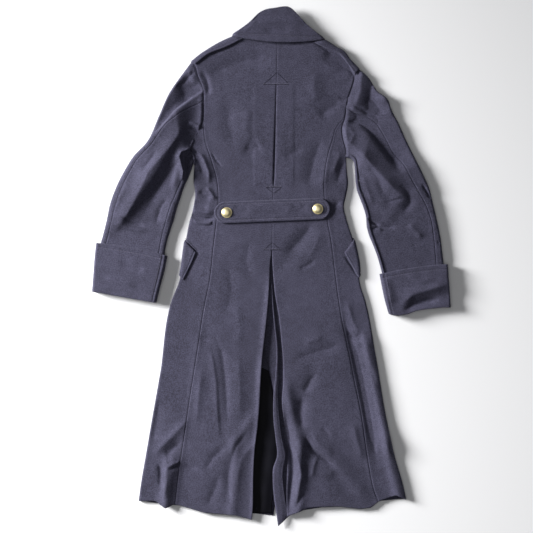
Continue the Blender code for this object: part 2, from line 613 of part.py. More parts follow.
class Tube:
    """A flattened sleeve or cuff: rings from the armhole down, each from the outer
    outline to the inner one on the face, and back on the underside."""

    def __init__(self, table, ridges, low, roll, armhole=None, under_armhole=None):
        self.table = np.array(table, float)
        self.ridges = ridges
        self.low = low
        self.roll = roll
        self.armhole = armhole
        self.under_armhole = under_armhole
        middle = (self.table[:, :2] + self.table[:, 2:4]) / 2
        chord = np.r_[0, np.cumsum(np.hypot(*np.diff(middle, axis=0).T))]
        self.stations = chord / chord[-1]
        self.length = chord[-1]

    def column(self, index, share):
        return hermite(self.stations, self.table[:, index], share)

    def plan(self, share, part, above):
        """Place in plan at shares down the tube and parts of its width."""
        ends = [self.column(i, share) for i in range(4)]
        x = ends[0] + (ends[2] - ends[0]) * part
        y = ends[1] + (ends[3] - ends[1]) * part
        if self.armhole is not None:
            first = self.table[0]
            fade = (1 - ease(share * self.length / 60)) ** 1.5
            for above_side, rim in ((True, self.armhole), (False, self.under_armhole)):
                bend = along(rim, part)
                use = fade * (above == above_side)
                x = x + use * (bend[..., 0] - (first[0] + (first[2] - first[0]) * part))
                y = y + use * (bend[..., 1] - (first[1] + (first[3] - first[1]) * part))
        return x, y

    def points(self, share, part, above):
        """Points on the outer face; share and part are arrays of the same shape."""
        x, y = self.plan(share, part, above)
        top = self.column(4, share)
        if self.armhole is None:
            top = top + folds(self.ridges, x, y)
        else:
            inside = cuffed(share * self.length, self.length)
            top = top + folds(self.ridges, x, y) * (1 - inside)
        if self.armhole is not None:
            start = ease(share * self.length * (1 - 0.65 * part) / SLEEVE_RISE)
            top = face(x, y) * (1 - start) + top * start
        low = self.low(share * self.length, self.length)
        ends = [self.column(i, share) for i in range(4)]
        width = np.hypot(ends[2] - ends[0], ends[3] - ends[1])
        distance = np.minimum(part, 1 - part) * width
        z = rolled(top, low, distance, above, self.roll)
        return np.stack([x, y, z], axis=-1)

    def width(self, share):
        ends = [self.column(i, share) for i in range(4)]
        return np.hypot(ends[2] - ends[0], ends[3] - ends[1])


def cuffed(run, length):
    """1 inside the cuff, 0 above it, by the distance run down the sleeve."""
    return ease((run - length + CUFF_COVERS + 30) / 30)


def sleeve_low(run, length):
    """Underside of a sleeve: on the floor, and lifted inside its cuff."""
    return (CUFF_PLY + GAP) * cuffed(run, length)


def sleeve(name, table, side, finish):
    """The under sleeve and the top sleeve, which wraps round both edges."""
    rim = pushed_out(along(side.armhole, np.linspace(0, 1, 40)), side)
    under_rim = pushed_out(along(side.under_armhole, np.linspace(0, 1, 40)), side)
    tube = Tube(table, SLEEVE_FOLDS, sleeve_low, SLEEVE_ROLL, rim, under_rim)
    share = np.linspace(0, 1, SLEEVE_ROWS) ** 1.12
    share = share[:, None]
    width = tube.width(share)
    hind = tube.column(5, share)
    fore = tube.column(6, share)
    gap = GAP / width * 2
    steps = roll_steps(SLEEVE_ROLL)[None, :] / width
    # under sleeve: between the two seams, on the face
    across = np.linspace(0, 1, 9)[None, :]
    part = (hind + gap) + (fore - hind - 2 * gap) * across
    grid = tube.points(share + 0 * part, part, np.ones(part.shape, bool))
    cloth("under_sleeve_" + name, [grid], finish, turn=side.sign > 0)
    # top sleeve: from the hind seam out over the edge, beneath, and up to the other seam
    flat = np.linspace(0, 1, 5)[None, 1:-1]
    start = hind - gap
    face_part = start + (steps[:, :1] - start) * np.linspace(0, 1, 5)[None, :-1]
    first_roll = steps
    under = steps[:, :1] + (1 - 2 * steps[:, :1]) * flat
    last = 1 - steps
    back_up = np.concatenate([1 - steps[:, ::-1][:, 1:], fore + gap], axis=1)
    part = np.concatenate([face_part, first_roll, steps[:, ::-1][:, 1:], under,
                           last, back_up], axis=1)
    above = np.ones(part.shape, bool)
    low_from = face_part.shape[1] + first_roll.shape[1]
    above[:, low_from:-back_up.shape[1]] = False
    grid = tube.points(share + 0 * part, part, above)
    cloth("top_sleeve_" + name, [grid], finish, turn=side.sign < 0)
    return tube


def pushed_out(rim, side):
    """An armhole curve moved away from the body by the armhole's gap."""
    way = np.gradient(rim, axis=0)
    way /= np.hypot(*way.T)[:, None]
    normal = np.stack([way[:, 1], -way[:, 0]], axis=1) * -side.sign
    share = np.linspace(0, 1, len(rim))[:, None]
    return rim + normal * ARMHOLE_GAP * (1 + 3 * share ** 3)


def cuff(name, table, side, finish):
    """A deep turned-back cuff: a ring of double cloth round the sleeve's end."""
    tube = Tube(table, CUFF_FOLDS, lambda run, length: 0.0 * run, SLEEVE_ROLL + 1.5)
    share = np.linspace(0, 1, 5)[:, None]
    steps = roll_steps(tube.roll)[None, :] / tube.width(share)
    flat = np.linspace(0, 1, 7)[None, 1:-1]
    middle = steps[:, :1] + (1 - 2 * steps[:, :1]) * flat
    half = np.concatenate([steps[:, ::-1], middle, (1 - steps)], axis=1)
    part = np.concatenate([half, half[:, ::-1][:, 1:]], axis=1)
    above = np.ones(part.shape, bool)
    above[:, half.shape[1]:] = False
    grid = tube.points(share + 0 * part, part, above)
    mouth = np.array(CUFF_MOUTH)
    drop = np.interp(part, mouth[:, 0], mouth[:, 1 if side.sign < 0 else 2])
    grid[..., 1] += drop * share ** 2 + CUFF_ARCH * 4 * part * (1 - part) * (1 - share) ** 2
    return cloth("cuff_" + name, [grid], finish, thick=CUFF_PLY, turn=side.sign > 0)


# ---------------------------------------------------------------- collar

def collar_points(share, part, above, inset):
    """Collar face: rows from the leaf's edge to the fold, the ring flattened."""
    table = np.array(COLLAR, float)
    stations = np.linspace(0, 1, len(table))
    column = [hermite(stations, table[:, i], share) for i in range(table.shape[1])]
    arch = np.where(above, column[4], column[5]) * 4 * part * (1 - part)
    width = column[2] - column[0] - 2 * INSET_SLOPE * inset
    x = column[0] + INSET_SLOPE * inset + width * part
    y = column[1] + (column[3] - column[1]) * part + arch
    top = column[6] - inset + 1.5 * np.sin(np.pi * part)
    distance = np.minimum(part, 1 - part) * width
    z = rolled(top, column[7] + inset, distance, above, COLLAR_ROLL - inset)
    return np.stack([x, y, z], axis=-1)


def collar_ring(name, start, rows, inset, finish):
    """The collar's leaf or stand: a flattened ring, open at the centre front."""
    share = np.linspace(start, 1, rows)[:, None]
    steps = roll_steps(COLLAR_ROLL) / 200
    face_part = np.unique(np.round(np.r_[steps, np.linspace(0, 1, 13)[1:-1], 1 - steps], 4))
    under = np.unique(np.round(np.r_[steps, np.linspace(0.1, 0.497, 3)], 4))[::-1]
    part = np.concatenate([under[:-1], face_part, 1 - under[::-1][1:]])[None, :]
    above = np.ones(part.shape, bool)
    above[:, :len(under) - 1] = False
    above[:, -(len(under) - 1):] = False
    grid = collar_points(share, part + 0 * share, above, inset)
    return cloth(name, [grid], finish, turn=True)


# ---------------------------------------------------------------- pieces laid on top

def half_belt(finish):
    """Belt with round ends, laid over the back and the side seams."""
    radius = BELT_WIDTH / 2
    ends = [radius * (1 - math.cos(a)) for a in np.radians((18, 40, 62, 90))]
    inner = np.linspace(radius, BELT_LENGTH - radius, 13)[1:-1]
    run = np.array(ends + list(inner) + [BELT_LENGTH - e for e in ends[::-1]])
    from_end = np.minimum(np.minimum(run, BELT_LENGTH - run), radius)
    half = np.sqrt(radius ** 2 - (radius - from_end) ** 2)
    across = np.linspace(-1, 1, 6)[:, None] * half
    u = (run - BELT_LENGTH / 2)[None, :]
    x = BELT_MIDDLE[0] + u * math.cos(BELT_TILT) + across * math.sin(BELT_TILT)
    y = BELT_MIDDLE[1] + u * math.sin(BELT_TILT) - across * math.cos(BELT_TILT)
    points = np.stack([x, y, face(x, y) + GAP + TWO_PLY], axis=-1)
    return cloth("half_belt", [points], finish, thick=TWO_PLY)


def button(name, x, y, z, finish):
    """A plain domed button with a raised rim, turned from its profile."""
    shape = bmesh.new()
    rings = []
    for share, height in BUTTON_PROFILE:
        ring = []
        for side in range(BUTTON_SIDES):
            turn = 2 * math.pi * side / BUTTON_SIDES
            ring.append(shape.verts.new(((x + share * BUTTON_RADIUS * math.cos(turn)) * MM,
                                         (y + share * BUTTON_RADIUS * math.sin(turn)) * MM,
                                         (z + height) * MM)))
        rings.append(ring)
    for lower, upper in zip(rings, rings[1:]):
        for i in range(BUTTON_SIDES):
            j = (i + 1) % BUTTON_SIDES
            shape.faces.new((lower[i], lower[j], upper[j], upper[i]))
    shape.faces.new(rings[0][::-1])
    shape.faces.new(rings[-1])
    mesh = bpy.data.meshes.new(name)
    shape.to_mesh(mesh)
    shape.free()
    mesh.materials.append(finish)
    made = bpy.data.objects.new(name, mesh)
    bpy.context.collection.objects.link(made)
    return made


def belt_buttons(finish):
    reach = BELT_LENGTH / 2 - BELT_BUTTON_INSET
    for name, way in (("left", -1), ("right", 1)):
        x = BELT_MIDDLE[0] + way * reach * math.cos(BELT_TILT)
        y = BELT_MIDDLE[1] + way * reach * math.sin(BELT_TILT)
        inner = x - way * BUTTON_RADIUS
        z = float(face(np.array(inner), np.array(y))) + 2 * GAP + TWO_PLY
        button("half_belt_button_" + name, x, y, z, finish)


def pocket_flap(row, side, finish):
    """A flap that starts on the face and wraps round the side to the underside."""
    name, corner_in, corner_y, along_in, along_y, down_in, down_y = row
    b = np.linspace(0, 1, 6)[:, None]
    # half of the columns lie close together, round the folded side
    fold = -(corner_in + b[:, 0] * down_in) / along_in
    near = FLAP_NEAR / abs(along_in)
    a = np.array([np.interp(np.linspace(0, 1, 24), (0, 0.25, 0.75, 1),
                            (0, max(at - near, 0.02), at + near, 1)) for at in fold])
    inward = corner_in + a * along_in + b * down_in
    y = corner_y + a * along_y + b * down_y
    points = side.wrapped(inward, y)
    if side.sign > 0:
        points, inward = points[:, ::-1], inward[:, ::-1]
    clear = (FLAP_CLEAR + FLAP_FOLD * np.exp(-(inward / SIDE_ROLL + 0.3) ** 2))[:, ::-1, None]
    outer = moved_out(points[:, ::-1], clear + CLOTH)
    outer[..., 2] = np.maximum(outer[..., 2], 0)
    return cloth(name, [outer], finish)


def slit_welt(side, finish):
    """The stitched lower lip of the slit at the left waist."""
    line = along(SLIT_WELT, np.linspace(0, 1, 8))
    drop = np.linspace(0, -WELT_DEPTH, 3)[:, None]
    x = line[None, :, 0] + 0 * drop
    y = line[None, :, 1] + drop
    inward = -side.sign * (x - x_at(side.outline, y))
    points = side.wrapped(np.abs(inward), y)
    outer = moved_out(points, GAP + 1.5)
    return cloth("slit_welt_left", [outer], finish, thick=1.5)


def pleat_underlay(finish):
    """The pleat's third layer, pressed flat under the two back edges."""
    x0, x1, y0, y1 = PLEAT
    x = np.linspace(x0, x1, 5)[None, :]
    y = np.linspace(y1, y0, 8)[:, None]
    points = np.stack([x + 0 * y, y + 0 * x, face(x + 0 * y, y + 0 * x) - CLOTH - GAP],
                      axis=-1)
    return cloth("pleat_underlay", [points], finish, thick=2.0)


def vent_underlap(finish):
    """Continuation of the right skirt under the vent: its free edge stands up."""
    table = np.array(UNDERLAP, float)[::-1]
    y = np.linspace(table[-1, 0], table[0, 0], 30)
    free, foot, high = (hermite(table[:, 0], table[:, i], y) for i in (1, 2, 3))
    low = np.full(y.shape, UNDERLAP_FOOT)
    tuck = x_at(CENTRE_RIGHT, y) + UNDERLAP_TUCK
    valley = foot + (x_at(CENTRE_RIGHT, y) - foot) * 0.4 + 3
    columns = ((free, high), (free + (foot - free) * 0.55, high - 0.8),
               (foot, (high + low) / 2 - 0.4), (valley, low), (tuck, low))
    points = np.stack([np.stack([x, y, z], axis=-1) for x, z in columns], axis=1)
    rise = ease((UNDERLAP_SLANT_FROM - y) / 60)[:, None]
    points[..., 1] += rise * np.clip(points[..., 0] - free[:, None], 0, 45) * UNDERLAP_SLANT
    return cloth("vent_underlap", [points], finish, thick=2.0)


def lining(finish):
    """Lining of the left front, where it shows through the vent."""
    y = np.linspace(*LINING_Y, 10)
    right = np.minimum(x_at(FRONT_LEFT, y) - 3, x_at(FRONT_RIGHT, y) - 2)
    x = LINING_SIDE + (right - LINING_SIDE)[:, None] * np.linspace(0, 1, 4)
    y = y[:, None] + 0 * x
    points = np.stack([x, y, np.full(x.shape, CLOTH + GAP + LINING)], axis=-1)
    return cloth("lining_left", [points], finish, thick=LINING)


def main():
    for old in list(bpy.data.objects):
        bpy.data.objects.remove(old)
    wool = material("melton", (0.068, 0.063, 0.098), 0.9)
    satin = material("lining_satin", (0.012, 0.012, 0.020), 0.5)
    gilt = material("gilt_brass", (0.72, 0.55, 0.22), 0.3, 1.0)
    left = Side(-1)
    right = Side(1)
    for side in (left, right):
        back_panel(side, wool)
        front_panel(side, wool)
        shoulder_strap(side, wool)
    sleeve("left", SLEEVE_LEFT, left, wool)
    sleeve("right", SLEEVE_RIGHT, right, wool)
    cuff("left", CUFF_LEFT, left, wool)
    cuff("right", CUFF_RIGHT, right, wool)
    collar_ring("collar_fall", 0.0, 5, 0.0, wool)
    collar_ring("collar_stand", STAND_FROM, 4, LAY, wool)
    half_belt(wool)
    belt_buttons(gilt)
    pocket_flap(FLAPS[0], left, wool)
    pocket_flap(FLAPS[1], right, wool)
    slit_welt(left, wool)
    pleat_underlay(wool)
    vent_underlap(wool)
    lining(satin)
    centred = mathutils.Matrix.Translation(mathutils.Vector(CENTRED) * MM)
    for made in bpy.data.objects:
        made.data.transform(centred)


main()
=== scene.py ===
# %% [markdown]
# # A greatcoat laid on its front
#
# The coat is a long one of thick felted wool, called melton. It lies flat with its back up, and
# the camera looks straight down on it. Every piece that a tailor sews on is made here as a sheet
# of points worked out with numpy, then given the thickness of its cloth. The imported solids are
# the frame: each sheet stands for the solid of the same name and keeps to its place.

# %% Load the frame
import math

import bmesh
import bpy
import mathutils
import numpy as np
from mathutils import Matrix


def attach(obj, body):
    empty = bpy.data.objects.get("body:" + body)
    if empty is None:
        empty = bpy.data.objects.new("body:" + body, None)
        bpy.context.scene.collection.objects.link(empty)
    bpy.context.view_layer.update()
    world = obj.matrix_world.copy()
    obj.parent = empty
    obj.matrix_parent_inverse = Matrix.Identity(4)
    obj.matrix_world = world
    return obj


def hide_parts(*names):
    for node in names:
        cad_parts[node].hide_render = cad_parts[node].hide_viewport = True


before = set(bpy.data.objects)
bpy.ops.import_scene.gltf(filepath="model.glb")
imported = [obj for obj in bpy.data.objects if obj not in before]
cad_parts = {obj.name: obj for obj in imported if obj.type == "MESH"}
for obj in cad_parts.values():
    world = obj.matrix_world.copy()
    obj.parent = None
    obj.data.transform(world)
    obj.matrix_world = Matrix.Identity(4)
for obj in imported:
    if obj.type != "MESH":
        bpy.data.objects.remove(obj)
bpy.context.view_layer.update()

# %% [markdown]
# ## Sizes
#
# Lengths are in millimetres, measured from a point near the middle of the coat. The coat lies
# with its collar towards +Y, and the wearer's left is at -X, because the back is up. The last
# step of every piece turns millimetres into metres and centres the coat on the frame's origin.

# %% Sizes of the cloth
MM = 0.001
CENTRED = np.array([-1.0, 2.0, 0.0])
CLOTH = 2.5            # one ply of melton
TWO_PLY = 4.0          # half belt and shoulder straps
CUFF_PLY = 4.6
LINING_PLY = 1.0
GAP = 0.3
SEAM_GAP = 0.08        # half the slit between two edges that are sewn together
LAY = GAP + CLOTH      # outer face of a ply that lies on another one
SIDE_ROLL = 5.0        # rolled edge of the body, in plan
SLEEVE_ROLL = 7.0
ROW_STEP = 2.6         # spacing of the sheets' rows and columns
print("one ply is", CLOTH, "mm")

# %% [markdown]
# ## Outlines
#
# The outlines and seams are short tables of points, from the collar down to the hem. A smooth
# curve runs through each table, so a dozen points are enough for a side a metre long.

# %% Outlines of the body
SIDE_LEFT = ((-182, 262), (-185, 233), (-186, 204), (-182, 180), (-185, 151), (-199, 94),
             (-207, 46), (-213, 2), (-221, -36), (-238, -79), (-266, -252), (-293, -406),
             (-313, -530), (-318, -570))
SIDE_RIGHT = ((180, 262), (182, 233), (185, 199), (180, 170), (175, 146), (182, 113),
              (200, 55), (209, 12), (214, -41), (226, -79), (252, -214), (278, -367),
              (305, -487), (317, -535), (325, -570))
SEAM_LEFT = ((-163, 350), (-159, 307), (-142, 254), (-130, 211), (-126, 166), (-128, 132),
             (-132, 98), (-140, 30), (-145, -19), (-161, -101), (-177, -204),
             (-195, -317), (-208, -406), (-220, -482), (-230, -570))
SEAM_RIGHT = ((176, 358), (158, 336), (147, 302), (137, 270), (129, 226), (128, 173),
              (131, 142), (135, 113), (144, 65), (155, -24), (168, -115), (184, -191),
              (200, -271), (218, -361), (231, -451), (249, -540), (258, -570))
CENTRE_LEFT = ((16, 554), (14, 468), (13, 434), (6, 192), (4, 137), (3, 58), (2.7, 50),
               (2.5, 41), (-1, 12), (-4, -46), (-8, -106), (-16, -178), (-22, -233), (-27, -322),
               (-31, -377), (-37, -422), (-42, -482), (-44, -552), (-46, -570))
CENTRE_RIGHT = ((16, 554), (14, 468), (13, 434), (6, 192), (4, 137), (3, 58), (2.7, 50),
                (2.5, 41), (5, -15), (9, -60), (20, -127), (25, -178), (29, -228), (29, -280),
                (26, -322), (31, -365), (38, -402), (39, -463), (37, -535), (38, -570))
SHOULDER_LEFT = ((-185, 487), (-154, 511), (-110, 529), (-67, 550))
SHOULDER_RIGHT = ((204, 464), (185, 490), (168, 512), (136, 526), (104, 541))
SHOULDER_EDGE_LEFT = ((-191, 492), (-154, 521), (-101, 549), (-70, 559))
SHOULDER_EDGE_RIGHT = ((212, 476), (192, 497), (173, 516), (150, 533), (131, 544), (108, 552))
ARMHOLE_LEFT = ((-191, 492), (-185, 487), (-174, 457), (-162, 425), (-161, 391),
                (-163, 350), (-182, 310), (-193, 288), (-182, 262))
ARMHOLE_RIGHT = ((212, 475), (204, 464), (194, 434), (184, 403), (176, 358), (169, 334),
                 (171, 310), (177, 286), (180, 262))
UNDER_ARMHOLE_LEFT = ((-191, 492), (-178, 452), (-160, 400), (-156, 350), (-162, 300),
                      (-182, 262))
UNDER_ARMHOLE_RIGHT = ((212, 475), (198, 440), (178, 395), (168, 345), (168, 300),
                       (180, 262))
FRONT_LEFT = ((-67, 545), (-48, 520), (-22, 504), (34, 492), (84, 458), (110, 329),
              (110, 113), (82, -127), (48, -319), (6, -570))
FRONT_RIGHT = ((104, 537), (84, 514), (50, 502), (-22, 482), (-67, 444), (-94, 329),
               (-106, 113), (-53, -103), (-7, -238), (22, -391), (44, -570))
print(len(SIDE_LEFT), "points give the left side its outline")

# %% The hem
HEM_LEVEL = -570.0
HEM = ((-330, -562), (-276, -562), (-264, -571), (-253, -578), (-242, -574), (-233, -569),
       (-209, -575), (-159, -590), (-87, -595), (-46, -606), (38, -599), (54, -592),
       (92, -577), (164, -575), (214, -581), (240, -578), (258, -563), (301, -547),
       (330, -560))
UNDER_HEM = ((-330, -562), (-160, -580), (5, -597), (45, -590), (160, -572), (330, -556))
HEM_REACH = 130.0      # the stretch above the hem that shares its unevenness

# %% [markdown]
# ## Curves and soft folds
#
# Cloth has no corners, so everything is built from a few smooth functions. A fold is a ridge or
# a trough along a path: its height falls off as a bell on both sides, often steeper on one side,
# and fades at its ends. The big folds come first. The solids have most of them too, but the
# ones on the right skirt and along the vent were reshaped here to match the photo.

# %% Smooth curves
def hermite(stations, values, at):
    """Smooth curve through values at rising stations; each tangent is the slope between the
    neighbours, and a cubic joins two points so that both tangents are kept."""
    stations = np.asarray(stations, float)
    values = np.asarray(values, float)
    at = np.clip(np.asarray(at, float), stations[0], stations[-1])
    slope = np.gradient(values, stations, axis=0)
    i = np.clip(np.searchsorted(stations, at, side="right") - 1, 0, len(stations) - 2)
    step = stations[i + 1] - stations[i]
    u = (at - stations[i]) / step
    if values.ndim > 1:
        u = u[..., None]
        step = step[..., None]
    return ((1 + 2 * u) * (1 - u) ** 2 * values[i] + u * (1 - u) ** 2 * step * slope[i]
            + u * u * (3 - 2 * u) * values[i + 1] + u * u * (u - 1) * step * slope[i + 1])


def x_at(outline, y):
    """x of a top-down outline at a height y of the plan."""
    rows = np.array(outline, float)[::-1]
    return hermite(rows[:, 1], rows[:, 0], y)


def along(points, share):
    """Place on a smooth curve through plan points, at a share of its chord length."""
    points = np.array(points, float)
    chord = np.r_[0, np.cumsum(np.hypot(*np.diff(points, axis=0).T))]
    return hermite(chord / chord[-1], points, share)


def ease(value):
    """0 below 0, 1 above 1, and the smooth step 3v^2 - 2v^3 between."""
    value = np.clip(value, 0, 1)
    return value * value * (3 - 2 * value)


print("halfway down the left side x is", round(float(x_at(SIDE_LEFT, -150)), 1), "mm")

# %% Large folds
def folds(table, x, y):
    """Sum of straight ridges. Across a fold the height is exp(-(aside / width)^2), with one
    width for each side, and beyond its ends it falls off in the same way."""
    total = np.zeros(np.broadcast(x, y).shape)
    for x0, y0, x1, y1, height, wide_left, wide_right in table:
        length = math.hypot(x1 - x0, y1 - y0)
        way = ((x1 - x0) / length, (y1 - y0) / length)
        run = (x - x0) * way[0] + (y - y0) * way[1]
        aside = (x - x0) * -way[1] + (y - y0) * way[0]
        beyond = np.maximum(np.maximum(-run, run - length), 0)
        width = np.where(aside > 0, wide_left, wide_right)
        total = total + height * np.exp(-(aside / width) ** 2
                                        - (beyond / (wide_left + wide_right)) ** 2)
    return total


BODY_FOLDS = (         # x0, y0, x1, y1, height, wide_left, wide_right
    (-240, -480, -256, -580, 9.0, 16, 13),       # flare at the left hem
    (229, -190, 276, -420, 8.0, 17, 9),          # ridge beside the right side seam
    (276, -420, 312, -600, 8.5, 20, 12),
    (-4, -60, -24, -260, 3.5, 26, 8),            # the skirt stands up a little at the vent
    (-24, -260, -40, -540, 4.5, 26, 8),
    (40, -300, 70, -440, 5.0, 14, 12),           # roll along the right vent edge
    (70, -440, 65, -620, 6.0, 13, 15),
    (130, -440, 205, -520, 4.5, 22, 14),         # diagonal break in the right skirt
    (-50, -372, -88, -430, 4.0, 16, 13),         # corner of the left skirt turned up
    (-88, -430, -92, -560, 4.5, 16, 12),
    (-150, -190, -125, -370, -2.4, 16, 20),      # trough down the left skirt
    (80, 72, 36, 16, -2.0, 16, 20),              # pull below the right belt end
    (95, -260, 64, -350, -2.0, 18, 22),
)
print(len(BODY_FOLDS), "large folds on the body")

# %% Creases along a path
RELIEF = 2.55          # factor on the height of every crease
CREASE_REACH = 3       # widths from its path at which a crease ends
CREASE_SHARP = 1.4     # power of the fall-off: 2 would be a bell, 1 a sharp edge
CREASE_FADE = 0.28     # share of a crease's length over which it comes and goes


def creases(table, x, y):
    """Sum of soft creases along paths of several points. The height is the given one times
    2.55 exp(-(distance / width)^1.4), with its own width on each side of the path, and it
    eases in and out over the first and last 28% of the path's length."""
    x, y = np.broadcast_arrays(np.asarray(x, float), np.asarray(y, float))
    total = np.zeros(x.shape)
    for height, wide_left, wide_right, path in table:
        path = np.array(path, float)
        reach = CREASE_REACH * max(wide_left, wide_right)
        near = ((x > path[:, 0].min() - reach) & (x < path[:, 0].max() + reach)
                & (y > path[:, 1].min() - reach) & (y < path[:, 1].max() + reach))
        px, py = x[near], y[near]
        steps = np.diff(path, axis=0)
        lengths = np.hypot(*steps.T)
        starts = np.r_[0, np.cumsum(lengths)]
        best = np.full(px.shape, 1e9)
        aside = np.zeros(px.shape)
        run = np.zeros(px.shape)
        for (x0, y0), (dx, dy), length, start in zip(path, steps, lengths, starts):
            wx, wy = dx / length, dy / length
            here = np.clip((px - x0) * wx + (py - y0) * wy, 0, length)
            off_x, off_y = px - x0 - wx * here, py - y0 - wy * here
            distance = np.hypot(off_x, off_y)
            closer = distance < best
            best = np.where(closer, distance, best)
            aside = np.where(closer, wx * off_y - wy * off_x, aside)
            run = np.where(closer, start + here, run)
        share = run / starts[-1]
        width = np.where(aside > 0, wide_left, wide_right)
        fade = ease(share / CREASE_FADE) * ease((1 - share) / CREASE_FADE)
        total[near] += RELIEF * height * fade * np.exp(-(best / width) ** CREASE_SHARP)
    return total


